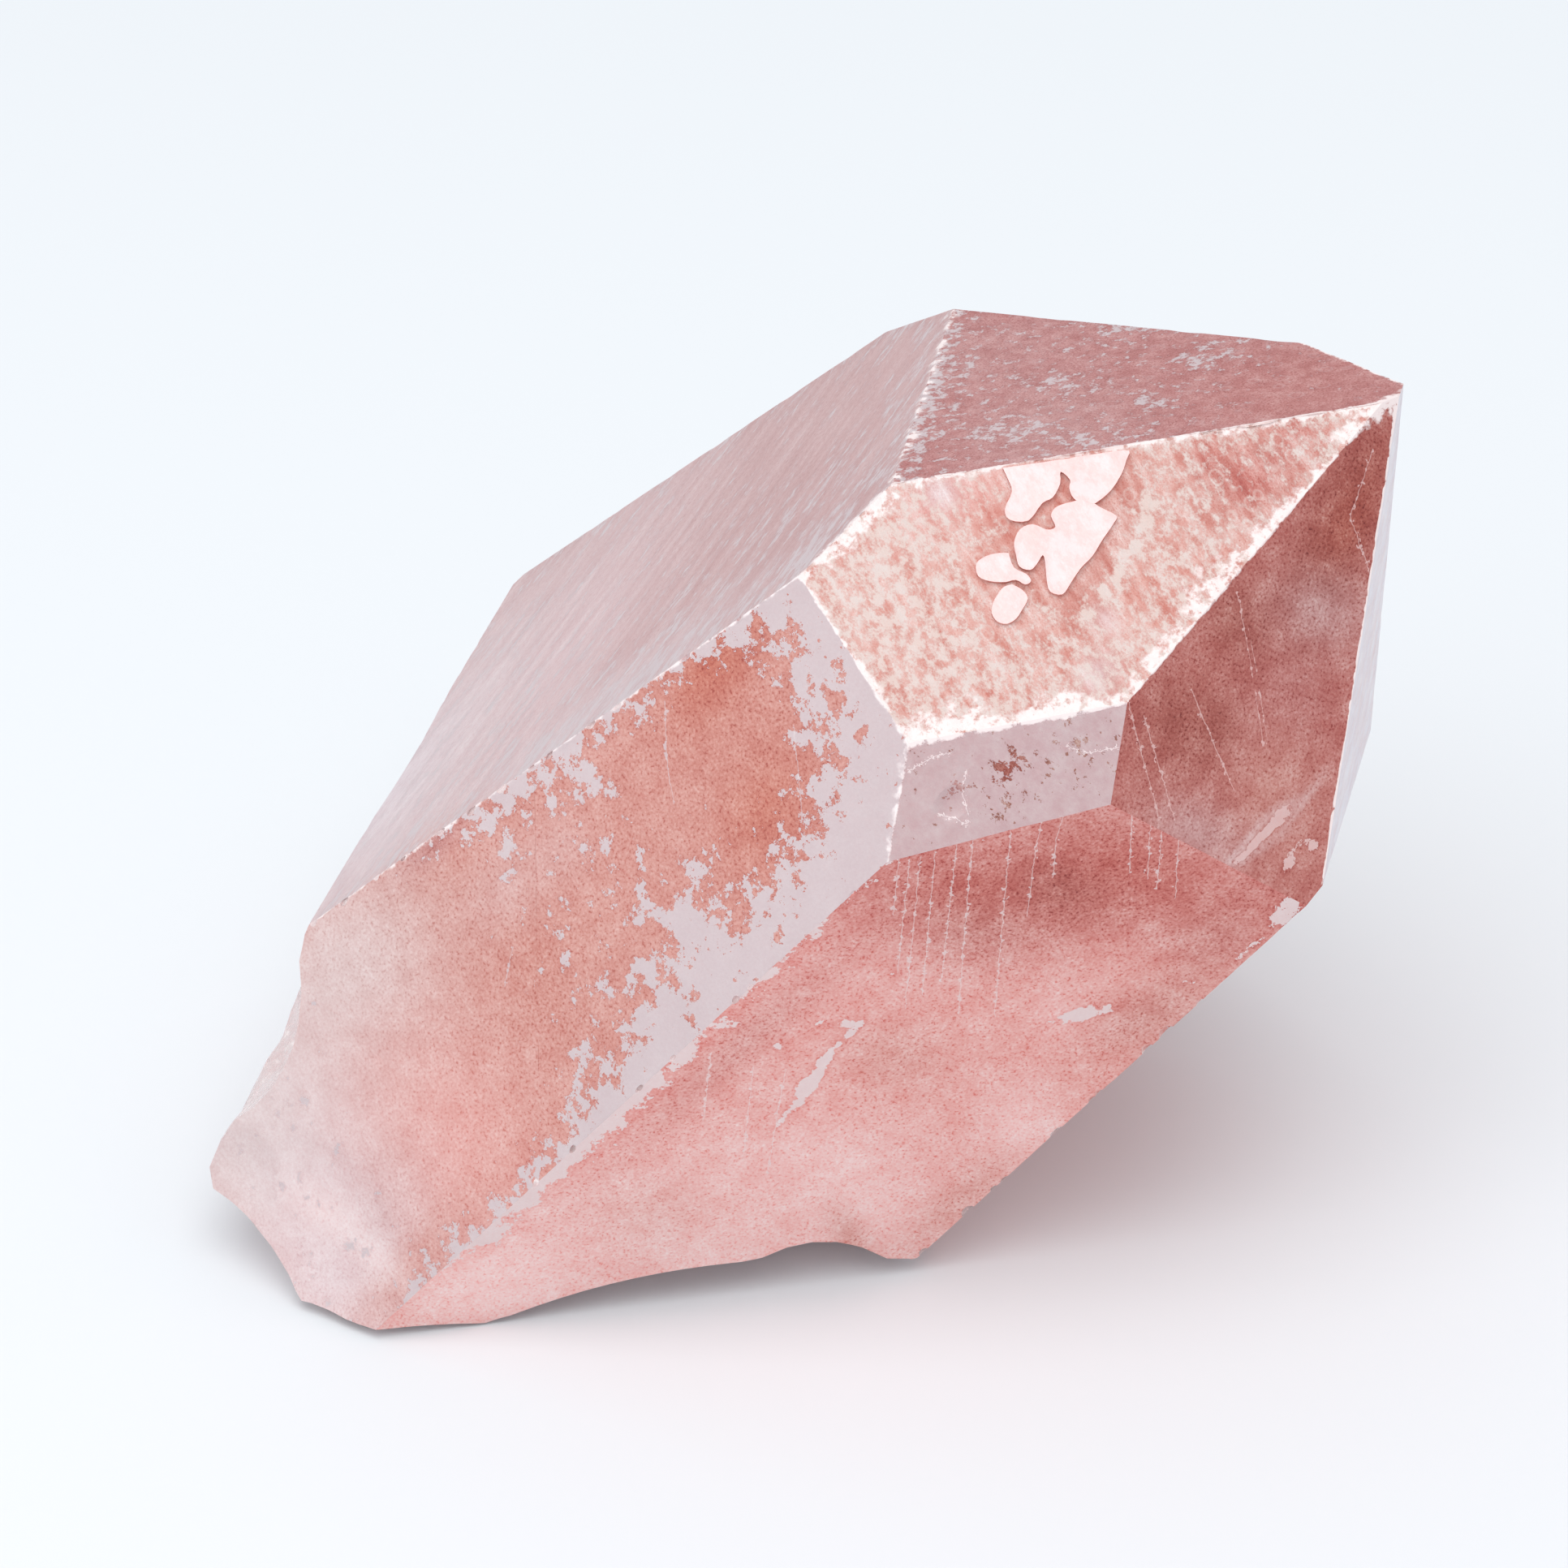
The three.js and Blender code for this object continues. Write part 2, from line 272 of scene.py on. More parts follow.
# How each facet looks. film and bare are tones; cover is how far inside its film
# border the facet lies, ragged how far that border wanders, soft how wide it is
# and line how wide thin lines in the film are, in mm. size scales all marks, grain
# draws them out along u, silk below 1 draws streaks out further and turn slants
# them all, in degrees. streak, speck, etch, pits, clear and rough run from 0 to 1.
PLAIN = dict(
    film="rose", bare="lilac", cover=1.5, ragged=1.2, soft=0.04, size=1.0, grain=1.5, turn=0,
    streak=0.3, speck=0.3, etch=0.2, pits=0.0, clear=0.35, rough=0.3, line=0.025, silk=1.0,
)
LOOKS = {
    "break": dict(
        PLAIN, film="petal", cover=1.6, streak=0.25, speck=0.1, etch=0.6, clear=0.5, rough=0.25,
    ),
    "prism_top": dict(
        PLAIN, cover=0.75, ragged=1.5, soft=0.7, grain=3.5, turn=-16, size=0.6, streak=0.2,
        rough=0.34, silk=0.35,
    ),
    "prism_front": dict(
        PLAIN, film="salmon", ragged=2.6, grain=1.0, streak=0.14, speck=0.5, rough=0.32,
    ),
    "prism_under": dict(
        PLAIN, film="rosy", bare="petal", ragged=1.0, grain=1.0, streak=0.2, speck=0.75, clear=0.2,
    ),
    "rhomb_top": dict(
        PLAIN, film="dusty", cover=1.15, ragged=1.7, soft=0.45, grain=1.0, size=0.62, streak=0.2,
        speck=0.5, pits=0.2, rough=0.4,
    ),
    # The bright facet: its bare cream is partly pale etched skin and partly a painted highlight of the
    # overhead softbox.
    "rhomb_front": dict(
        PLAIN, film="coral", bare="cream", cover=0.05, ragged=1.6, soft=0.9, grain=1.35, size=0.46,
        streak=0.5, etch=1.0, pits=0.5, rough=0.4, silk=0.4,
    ),
    "rhomb_under": dict(
        PLAIN, film="brick", bare="shell", cover=2.5, ragged=1.0, grain=1.0, streak=0.22, speck=0.6,
        rough=0.28,
    ),
    "rhomb_right": dict(
        PLAIN, film="pearl", bare="frost", cover=-0.3, ragged=1.4, soft=1.8, size=1.3, streak=0.4,
        clear=0.15,
    ),
    "rhomb_back": dict(PLAIN, film="dusty", cover=1.9, ragged=2.2, streak=0.25, speck=0.5),
    "rhomb_rear": dict(PLAIN, film="blush", cover=0.9, ragged=2.2, streak=0.25, speck=0.4),
    "prism_right": dict(PLAIN, film="rosy", cover=2.1, ragged=2.4, streak=0.2, speck=0.6),
    "prism_back": dict(PLAIN, film="salmon", cover=1.9, ragged=2.4, grain=1.2, streak=0.18, speck=0.6),
    "prism_rear": dict(PLAIN, cover=1.0, ragged=2.0, grain=2.5, streak=0.25, silk=0.4),
    "corner": dict(
        PLAIN, film="umber", bare="mauve", cover=-1.5, ragged=1.5, grain=1.2, size=0.45, streak=0.4,
        clear=0.4, rough=0.24,
    ),
    "plate": dict(
        PLAIN, film="shell", bare="petal", cover=-0.4, ragged=1.4, soft=1.4, size=0.9, streak=0.2,
        speck=0.0, etch=0.3, clear=0.1,
    ),
    "plate_side": dict(PLAIN, film="salmon", bare="cream", cover=1.5, ragged=0.5, clear=0.1, rough=0.4),
}

# Cloudy stains on a facet, and on prism_front one darker dusty band beside its edge with prism_top: (u,
# v, reach along u, reach along v, turn, tone, strength).
CLOUDS = {
    "prism_top": [
        (-3, -6, 24, 8, 0, "mauve", 0.6),
        (2, -18, 26, 9, 0, "pearl", 0.9),
        (14, 3, 5, 12, 0, "lilac", 0.5),
        (18, -12, 4, 5, 0, "salmon", 0.7),
        (-14, 4, 6, 9, 0, "rose", 0.4),
        (-1, -22, 9, 5, 0, "frost", 0.3),
    ],
    "prism_front": [
        (3, 11, 8, 7, 0, "orange", 0.4),
        (6, 10.6, 3, 3.4, 0, "orange", 0.5),
        (-2.0, 11.8, 1.6, 4.0, 8, "ember", 1.0),
        (9.4, 8.4, 2.0, 3.4, 0, "orange", 0.6),
        (2.6, 2.2, 4, 4, 0, "salmon", 0.8),
        (4.4, -9.2, 4, 3.4, 0, "orange", 0.4),
        (-4.2, -8.6, 2.6, 5, 0, "orange", 0.35),
        # a darker dusty band along the edge with prism_top
        (-4.9, -10, 0.9, 3.6, 0, "dusty", 0.7),
        (-1, -19, 8, 6, 0, "blush", 0.5),
        (2, -31, 14, 9, 0, "pearl", 0.9),
        (-3, -20, 4.5, 7, 0, "oyster", 0.6),
        (1.5, -32, 6, 7, 20, "oyster", 0.7),
        (10, -20, 6, 6, 0, "rosy", 0.6),
        (12, -31, 7, 6, 0, "pearl", 0.9),
        (14.4, -26.6, 1.8, 6, 6, "salmon", 0.7),
        (10.0, -25.6, 2.4, 4, 20, "rose", 0.3),
        (0.2, -8.0, 2.2, 3.4, 0, "blush", 0.5),
        (0.6, -3.2, 2.0, 2.2, 0, "blush", 0.4),
        (-0.6, 12, 1.6, 4.4, 10, "ember", 0.6),
        (7.0, 9.6, 2.2, 3.2, 0, "ember", 0.7),
        (8, -30, 3.2, 1.4, 30, "petal", 0.8),
        (12, -28.6, 2.4, 1.0, 20, "petal", 0.8),
    ],
    "prism_under": [
        (-5, 15.0, 8, 4.4, 30, "terracotta", 0.95),
        (2, 21, 9, 4.0, 0, "terracotta", 0.95),
        (1, 17.0, 3.4, 3.4, 0, "terracotta", 0.6),
        (12.5, 25, 5, 3, 0, "terracotta", 0.9),
        (12.5, 13, 3, 5, 0, "salmon", 0.5),
        (4, -7, 8, 4.5, 20, "shell", 0.7),
        (11.5, 1.5, 4, 2.4, -40, "shell", 0.9),
        (8, -9, 5, 3, 0, "shell", 0.8),
        (1, -16, 9, 5, 0, "shell", 0.9),
        (-7, -25, 8, 6, 0, "shell", 1.0),
        (13, -5, 1.6, 4, 0, "salmon", 0.5),
        (-2.6, 12.6, 3.4, 2.6, 0, "brick", 0.55),
        (-0.6, 17.4, 3, 2, 0, "rust", 0.5),
        (10.6, 19.4, 3, 3, 0, "brick", 0.45),
        (11.2, 12.4, 2.2, 3.2, -30, "brick", 0.3),
        (6.6, 9.6, 2.4, 1.4, -40, "shell", 0.5),
        (9.2, -11.2, 3.2, 1.0, -30, "salmon", 0.6),
        (0.4, 2.0, 3.4, 2.4, 0, "salmon", 0.4),
        (-3, -15.6, 4, 3, 0, "salmon", 0.3),
        (-8.2, -2, 1.6, 9, 0, "brick", 0.35),
    ],
    "rhomb_top": [
        (0, 34, 9, 6, 0, "brick", 0.3),
        (5, 20, 7, 5, 0, "rose", 0.5),
        (-8, 14, 6, 5, 0, "rose", 0.3),
    ],
    "rhomb_front": [
        (6, 28.6, 3.0, 4.5, 0, "brick", 0.6),
        (3.7, 26.6, 1.2, 1.2, 0, "terracotta", 0.5),
        (6.0, 28.0, 1.4, 1.4, 0, "terracotta", 0.6),
        (4.9, 31.9, 1.2, 1.6, 0, "terracotta", 0.6),
        (-2, 13, 2, 5, 0, "shell", 0.4),
        (-2.4, 12.4, 1.1, 1.1, 0, "lilac", 0.6),
        (8.8, 16.4, 1.1, 0.8, 0, "lilac", 0.5),
        (11.6, 14.4, 1.2, 1.6, 30, "lilac", 0.6),
        (5.1, 18.6, 1.6, 6, 32, "salmon", 0.8),
    ],
    "rhomb_under": [
        (3.8, 26.5, 3, 6.5, 0, "rust", 1.0),
        (4.4, 25.6, 2.0, 5.4, 0, "sienna", 1.0),
        (-0.8, 11.8, 3.5, 3.2, 0, "rust", 0.85),
        (1.9, 12.6, 1.8, 2.0, 0, "rust", 0.8),
        (-0.3, 18.8, 2.2, 2.2, 0, "rust", 0.9),
        (1.6, 18.6, 1.4, 2.2, 0, "rust", 0.6),
        (5.4, 21.5, 3.6, 2.2, 10, "rose", 0.6),
        (6.0, 16.4, 3.4, 3.4, 0, "dusty", 0.4),
        (3.8, 6.8, 3.6, 1.8, 10, "rose", 0.7),
        (7.2, 11.2, 3, 3.0, -35, "salmon", 0.6),
        (10.5, 9, 3, 3, 0, "salmon", 0.4),
        (7.3, 7.5, 0.3, 2.2, -20, "petal", 0.5),
        (8.7, 10.3, 0.3, 1.5, -39, "petal", 0.5),
        (8.2, 7.4, 0.3, 2.0, -40, "petal", 0.4),
        (9.8, 10.8, 0.3, 2.0, -16, "petal", 0.4),
    ],
    "corner": [
        (5.4, 15.2, 2.2, 2.4, 0, "umber", 0.9),
        (3.2, 11.8, 1.2, 1.6, 0, "rust", 0.8),
        (1.8, 8.8, 1.0, 1.0, 0, "rose", 0.9),
    ],
    "rhomb_back": [
        (-6, 24, 10, 7, 20, "salmon", 0.8),
        (8, 16, 8, 9, 0, "shell", 0.8),
    ],
    "rhomb_rear": [
        (0, 14, 8, 6, 0, "rose", 0.8),
        (4, 24, 5, 8, 30, "salmon", 0.7),
    ],
    "prism_right": [
        (0, 8, 12, 7, 15, "salmon", 0.9),
        (-4, -12, 10, 8, 0, "shell", 0.8),
    ],
    "prism_back": [
        (-4, 2, 9, 8, 30, "orange", 0.7),
        (8, 12, 8, 6, 0, "shell", 0.7),
        (2, -16, 12, 8, 0, "shell", 0.9),
    ],
    "prism_rear": [
        (0, -14, 14, 9, 0, "pearl", 0.9),
        (4, 12, 9, 6, 0, "dusty", 0.6),
    ],
}

# Film borders on two prism faces; the film lies inside. (u, v) in mm.
BORDERS = {
    "prism_front": [
        (-0.9, 15.3), (-1.0, 14.3), (-2.2, 13.9), (-2.1, 12.8), (-2.6, 11.1), (-3.0, 9.0),
        (-3.3, 7.1), (-3.6, 5.5), (-3.5, 2.6), (-2.4, 0.6), (-2.8, -0.7), (-3.8, -1.4), (-3.0, -4.0),
        (-4.2, -6.0), (-4.7, -7.6), (-5.2, -12.5), (-12, -14), (-12, -45), (18, -45), (18, -30),
        (16.2, -28.4), (15.5, -26.6), (14.9, -24.4), (14.3, -19.9), (13.7, -16.1), (12.9, -13),
        (12.5, -8.7), (11.6, -6.6), (11.2, -3.9), (9.7, -2.7), (10.9, -2.2), (11.5, -1.1),
        (9.5, -0.1), (8.5, -0.4), (8.0, 1.0), (8.4, 2.8), (9.6, 3.6), (10.8, 3.7), (10.7, 7.6),
        (10.6, 9.0), (9.5, 9.8), (9.3, 11.6), (9.0, 13.6), (7.3, 13.2), (6.5, 15.2), (4.8, 14.4),
        (3.2, 14.6), (1.4, 16.6), (-0.2, 15.8),
    ],
    "prism_under": [
        (-11.3, 14.6), (-11.0, 8), (-10.8, 0), (-10.0, -8), (-10.1, -16), (-10.2, -20), (-10.9, -24),
        (-12, -27), (-12, -36), (20, -32), (20, 12), (15.4, 23), (15, 28), (-2, 28),
    ],
}

# Further inside a border than this, in mm, the film is whole.
DEEP = 2.2

# Spots where the film thins out or is missing, and where it thickens:
# (u, v, reach along u, reach along v, turn, change of cover in mm).
BARE_SPOTS = {
    "prism_front": [
        (0.7, 17.6, 0.6, 0.6, 0, 2.6),
        (-0.7, 17.6, 0.3, 0.4, 0, 2.6),
        (3.3, 18.2, 0.6, 0.6, 0, 2.8),
        (4.5, 17.0, 0.9, 0.7, -20, 2.8),
        (5.9, 17.2, 0.9, 0.4, 0, 2.2),
        (7.4, 17.2, 0.5, 0.9, 0, 2.8),
        (8.1, 15.0, 0.9, 0.5, -30, 2.4),
        (11.1, 11.0, 0.4, 0.7, 0, 1.8),
        (7.1, 4.2, 1.4, 0.7, -14, -3.4),
        (5.4, 14.0, 0.6, 0.4, 0, -1.6),
        (7.8, 12.4, 0.35, 1.6, -30, -2.4),
        (9.0, 9.2, 0.4, 1.0, -20, -2.6),
        (-2.0, 6.2, 0.5, 1.0, -20, -2.4),
        (-1.5, 0.9, 0.8, 1.3, 0, -2.6),
        (-0.5, 1.9, 0.6, 0.5, 0, -2.8),
        (-2.1, -1.9, 0.4, 0.6, 0, -2.4),
        (-1.1, -2.6, 0.5, 0.5, 0, -2.6),
        (-3.8, -6.7, 0.9, 1.0, 0, -2.4),
        (-1.6, -6.5, 1.0, 0.8, 0, -2.8),
        (-0.1, -7.3, 0.8, 0.6, 0, -2.8),
        (2.6, -1.4, 2.4, 1.6, -30, -1.3),
        (4.5, 0.9, 1.2, 0.5, -20, -2.8),
        (9.1, 1.2, 0.9, 0.5, 0, -2.0),
        (6.6, -0.6, 0.8, 1.2, 20, -2.8),
        (3.4, -6.0, 0.5, 0.8, 0, -2.8),
        (5.6, -7.0, 0.8, 0.9, 0, -2.6),
        (8.5, -5.7, 0.8, 1.1, -20, -2.8),
        (9.2, -7.8, 0.8, 0.8, 0, -2.4),
        (9.4, -2.4, 0.5, 1.2, -20, -2.6),
        (6.2, -9.8, 0.5, 1.4, -20, -2.2),
        (10.6, -9.6, 0.7, 1.4, -20, -2.4),
        (2, -17, 12, 6, 0, 3.0),
        (-5.6, -15.9, 0.5, 0.5, 0, 2.0),
        (3, 9.6, 4.0, 4.0, 0, 1.6),
    ],
    "prism_under": [
        (-2.5, -1.9, 0.5, 4.4, 13, -4.2),
        (-3.7, 2.9, 1.2, 0.8, 30, -2.2),
        (8.0, 10.4, 0.7, 2.2, -42, -4.2),
        (12.9, 20.0, 0.9, 2.6, -25, -2.0),
        (12.5, 23.8, 1.6, 1.0, -20, -2.3),
        (12.6, 22.4, 0.8, 1.0, 0, -2.3),
        (9.0, 24.8, 1.6, 0.6, 0, -2.3),
        (-5.3, 1.9, 0.4, 0.6, 0, -2.8),
        (-6.1, -0.8, 0.5, 0.4, 0, -2.8),
        (-2.1, -2.4, 0.5, 0.5, 0, -2.8),
        (-4.4, 7.2, 0.3, 0.5, 0, -2.8),
        (-5.9, -5.4, 0.4, 0.8, 20, -2.6),
        (9.5, -12.1, 1.4, 0.9, 0, -2.4),
        (-6.0, -3.0, 1.2, 3.0, 0, -1.0),
        (11.5, 15.5, 0.6, 2.0, -30, -1.8),
        (-10.6, -21.7, 1.2, 1.0, 0, -1.2),
    ],
    "prism_top": [
        (15, 4, 3.0, 20, 0, -0.9),
        (9, 4, 4.0, 14, 0, -0.35),
        (9.5, 20, 2.4, 5, 60, -0.7),
        (-1, 24, 15, 1.4, 4, -1.0),
        (-10, 16, 5, 6, 0, 0.5),
        (-14, 2, 10, 12, 0, 0.5),
    ],
    "rhomb_top": [
        (4.8, 18.2, 1.4, 2.6, 0, -1.5),
        (-11.6, 22.6, 1.6, 2.6, 0, -1.5),
        (-2.7, 19.5, 1.4, 2.2, 0, -1.2),
        (-5.6, 28.2, 1.8, 2.2, 0, -1.2),
        (6.5, 24, 1.2, 3.2, 0, -1.2),
        (0, 35, 8, 4, 0, 0.9),
        (-1, 12, 14, 1.5, 6, -1.5),
        (1, 26, 1.6, 1.2, 0, -1.2),
    ],
    "rhomb_under": [
        (11.8, 9.3, 1.3, 0.7, 20, -2.8),
        (10.8, 7.9, 0.6, 1.1, 0, -2.7),
        (7.9, 7.6, 0.3, 2.4, -22, -2.6),
        (8.5, 8.6, 0.25, 2.6, -30, -2.5),
        (9.0, 10.6, 0.4, 2.6, -25, -2.6),
    ],
    "rhomb_right": [
        (0, 14, 5, 6, 0, 0.8),
        (-3, 6, 3, 5, 20, -0.8),
    ],
    "rhomb_back": [
        (-2, 18, 7, 2.2, 25, -1.4),
        (7, 10, 3, 7, 0, -1.5),
        (-8, 28, 4, 3, 0, -1.3),
    ],
    "prism_right": [
        (-6, 8, 5, 3, 20, -1.6),
        (4, 14, 7, 1.6, 0, -1.7),
        (8, -8, 3, 9, 0, -1.5),
    ],
    "prism_back": [
        (6, 2, 3, 8, 10, -1.6),
        (-7, -6, 5, 3, 0, -1.4),
        (0, 16, 8, 1.6, 0, -1.6),
    ],
    "corner": [
        (2.9, 11.5, 0.7, 0.9, 0, 1.7),
        (3.4, 12.6, 0.5, 0.5, 0, 1.6),
        (4.2, 11.4, 1.6, 2.0, 0, 0.6),
        (4.6, 9.4, 0.8, 0.9, 0, 0.9),
        (5.2, 15.2, 1.3, 1.7, 0, 1.1),
        (1.9, 8.9, 0.5, 0.7, 0, 1.4),
    ],
    "rhomb_front": [
        (3, 5.5, 9, 5.5, 0, -0.3),
        (-1.6, 9, 2.2, 3, 0, -0.3),
        (5.1, 18.6, 0.8, 4.4, 32, 1.8),
        (4.2, 22.2, 0.4, 0.4, 0, -2.8),
        (5.2, 21.3, 0.25, 0.5, 30, -3.0),
        (6.1, 20.1, 0.25, 0.5, 30, -3.2),
        (6.9, 18.6, 0.22, 0.5, 34, -3.2),
        (7.5, 17.2, 0.35, 0.35, 0, -2.8),
        (8.1, 15.8, 0.3, 0.45, 20, -2.4),
        (8.6, 18.2, 0.8, 4.0, 30, 0.6),
        (3.4, 14.4, 1.0, 3.0, -30, 1.4),
        (5.8, 12.2, 1.8, 2.0, 0, 0.8),
        (6, 28.4, 3.4, 4, 0, 1.0),
        (-0.8, 13.4, 2, 3, 0, 0.5),
        (-2.4, 12.4, 0.9, 0.9, 0, 1.6),
        (8.8, 16.6, 0.9, 0.6, 0, 1.4),
    ],
}

# Bruised and etched edges of each facet, and painted white highlights along the narrow edges that catch
# the light: beside which one, how wide in mm, how white.
RIMS_AND_EDGE_HIGHLIGHTS = {
    "rhomb_front": [
        ("prism_top", 0.9, 0.56),
        ("prism_front", 0.42, 0.54),
        ("corner", 1.0, 0.64),
        ("rhomb_under", 1.0, 0.52),
        ("rhomb_top", 0.4, 0.52),
    ],
    "rhomb_top": [
        ("prism_top", 0.5, 0.42),
        # this narrow rim is a painted highlight along the edge with the bright facet
        ("rhomb_front", 0.16, 0.7),
        ("rhomb_back", 0.2, 0.5),
        ("rhomb_under", 0.5, 0.6),
    ],
    "prism_top": [("prism_front", 0.2, 0.5), ("rhomb_front", 0.5, 0.6), ("rhomb_top", 0.5, 0.42)],
    # on prism_front the rim beside the corner facet is a painted pale highlight
    "prism_front": [("prism_top", 0.15, 0.45), ("rhomb_front", 0.12, 0.5), ("corner", 0.6, 0.34)],
    # the narrow rims beside rhomb_front and rhomb_right are painted bright edge highlights
    "rhomb_under": [("rhomb_front", 0.1, 0.6), ("rhomb_right", 0.07, 1.6), ("rhomb_top", 0.8, 0.8)],
    # a painted bright highlight along the edge with rhomb_under
    "rhomb_right": [("rhomb_under", 0.07, 1.6)],
    "corner": [("rhomb_front", 0.2, 0.7), ("prism_front", 0.1, 0.42)],
    "rhomb_back": [
        ("rhomb_top", 0.5, 0.4),
        ("rhomb_rear", 0.4, 0.4),
        ("rhomb_right", 0.4, 0.4),
        ("prism_back", 0.5, 0.4),
    ],
    "rhomb_rear": [("rhomb_top", 0.4, 0.4), ("prism_rear", 0.5, 0.36)],
    "prism_rear": [("prism_top", 0.3, 0.4), ("rhomb_rear", 0.4, 0.36), ("prism_back", 0.3, 0.4)],
    "prism_right": [("prism_under", 0.3, 0.4), ("rhomb_right", 0.4, 0.4), ("prism_back", 0.4, 0.4)],
}

# Where a facet's skin has no grains: (u, v, reach along u, reach along v, turn).
CALM = {"prism_front": (1, -30, 11, 11, 0)}

# The film thickens round the growth plates: by how much and how widely, in mm.
# The broken end is this white all over.
OUTLINE = {"rhomb_front": (2.0, 0.4), "plate": (1.2, 0.2)}
BREAK_WHITE = 0.27

# Thin lines where the film is missing, as dendrites and scratches, in order
# across each facet. (u, v) in mm.
LINE_REACH = 0.3
LINES = {
    "prism_under": [
        ((-9.2, -3.4), (-6.0, -7.6)),
        ((-6.2, -3.0), (-1.6, -9.0)),
        ((-4.4, -2.2), (0.6, -9.2)),
        ((-10.4, 14.1), (-7.9, 11.0)),
        ((-9.9, 14.5), (-4.4, 7.6)),
        ((-9.5, 15.0), (-1.9, 5.6)),
        ((-9.0, 15.7), (-5.6, 11.6), (-1.8, 7.0)),
        ((-8.3, 16.8), (-4.9, 12.5), (-1.6, 8.4)),
        ((-7.7, 17.5), (-3.3, 12.2), (1.2, 6.9)),
        ((-6.3, 19.2), (-2.1, 14.2), (3.3, 7.8)),
        ((-5.4, 20.9), (-4.2, 19.1), (-0.9, 15.0)),
        ((-4.6, 21.8), (-3.6, 20.2), (-1.8, 18.1)),
        ((-1.4, 24.3), (1.9, 20.7)),
        ((0, 24.4), (3.2, 20.9)),
        ((1.3, 24.0), (4.3, 20.6)),
        ((2.6, 24.1), (5.8, 20.6)),
    ],
    "rhomb_under": [
        ((-4.6, 11.4), (0.7, 6.6)),
        ((-3.1, 11.1), (1.7, 7.0)),
        ((-0.8, 13.7), (4.7, 10.1)),
        ((3.5, 15.5), (5.4, 13.2)),
        ((-0.8, 19.8), (2.6, 16.4)),
        ((3.7, 30.7), (4.3, 26.9), (7.2, 24.8)),
    ],
    "prism_front": [
        ((-1.8, 7.7), (0.9, 5.8), (2.8, 4.9)),
        ((4.4, 13.9), (6.8, 12.5), (8.8, 11.3)),
        ((3.4, -9.5), (4.6, -11.0)),
    ],
    "corner": [
        ((-0.7, 8.0), (-0.4, 9.2), (0.1, 10.0)),
        ((2.4, 7.3), (3.0, 7.7), (3.8, 7.9)),
        ((3.2, 8.5), (2.2, 9.1), (1.7, 9.9)),
        ((4.9, 15.1), (5.7, 15.4), (6.7, 16.8)),
    ],
}

# ------------------------------------------------------------- the fine mesh

# How long the edges of the mesh may be, in mm: on each facet, on any other, along
# thin lines, where two facets meet, and before the mesh is refined.
CELL = {
    "rhomb_front": 0.36,
    "rhomb_under": 0.45,
    "corner": 0.36,
    "plate": 0.4,
    "plate_side": 0.4,
    "break": 0.95,
}
PLAIN_CELL = 0.9
LINE_CELL = 0.26
EDGE_CELL = 0.4
COARSE_CELL = 1.2

# How often the limit on coarse edges is halved on its way to COARSE_CELL, and how
# often the fine mesh has its long edges halved.
COARSE_HALVINGS = 5
FINE_HALVINGS = 4

# Points this near, in mm, are one point, polygons that lean this little are one
# flat, and edges steeper than a crease are sharp.
MERGE_GAP = 0.001
FLAT_ANGLE = math.radians(0.1)
CREASE_ANGLE = math.radians(24)


def within_facet(edge, layer):
    """Whether both polygons beside an edge are on the same facet."""
    one, other = edge.link_faces
    return one[layer] == other[layer] != 0


def coarse_solid(node):
    """The CAD solid, merged and cut into even triangles, with its facets."""
    solid = bmesh.new()
    solid.from_mesh(node.data)
    bmesh.ops.remove_doubles(solid, verts=solid.verts, dist=MERGE_GAP * MM)
    bmesh.ops.dissolve_limit(
        solid,
        angle_limit=FLAT_ANGLE,
        verts=solid.verts,
        edges=solid.edges,
        use_dissolve_boundaries=False,
    )
    solid.normal_update()
    facets = find_facets(solid)
    layer = mark_facets(solid, facets)
    bmesh.ops.triangulate(solid, faces=solid.faces[:])
    longest = COARSE_CELL * 2**COARSE_HALVINGS * MM
    while longest >= COARSE_CELL * MM:
        edges = [edge for edge in solid.edges if edge.calc_length() > longest]
        bmesh.ops.subdivide_edges(solid, edges=edges, cuts=1, use_grid_fill=True)
        bmesh.ops.triangulate(solid, faces=solid.faces[:])
        flat = [edge for edge in solid.edges if within_facet(edge, layer)]
        bmesh.ops.beautify_fill(solid, faces=solid.faces[:], edges=flat)
        longest /= 2
    return solid, facets


def wanted_cells(points, edges, low_kind, high_kind, facets):
    """How long, in mm, each edge of the fine mesh may be."""
    table = np.array([CELL.get(name, PLAIN_CELL) for name in NAMES])
    cells = np.minimum(table[low_kind], table[high_kind])
    cells[low_kind != high_kind] = np.minimum(cells[low_kind != high_kind], EDGE_CELL)
    ends = points[edges]
    half = np.linalg.norm(ends[:, 0] - ends[:, 1], axis=1) / 2
    for name, lines in LINES.items():
        here = low_kind == NAMES.index(name)
        u, v = facets[name].place(ends[here].mean(axis=1))
        gap = np.min([line_gap(line, u, v) for line in lines], axis=0)
        cells[here] = np.where(gap < half[here] + LINE_REACH, LINE_CELL, cells[here])
    return cells


def kinds_beside(count, index, kinds):
    """The lowest and the highest kind of the triangles at each edge or point."""
    low_kind, high_kind = np.full(count, len(NAMES)), np.zeros(count, int)
    np.minimum.at(low_kind, index.ravel(), np.repeat(kinds, 3))
    np.maximum.at(high_kind, index.ravel(), np.repeat(kinds, 3))
    return low_kind, high_kind


def triangle_normals(points, triangles):
    """Normals of triangles, twice as long as the triangles are large."""
    corner = points[triangles]
    return np.cross(corner[:, 1] - corner[:, 0], corner[:, 2] - corner[:, 0])


def edge_table(triangles, kinds):
    """Unique edges, which of them each triangle has, and the kinds of facet beside them."""
    pairs = np.sort(triangles[:, [[0, 1], [1, 2], [2, 0]]].reshape(-1, 2), axis=1)
    edges, which = np.unique(pairs, axis=0, return_inverse=True)
    return edges, which.reshape(-1, 3), *kinds_beside(len(edges), which, kinds)


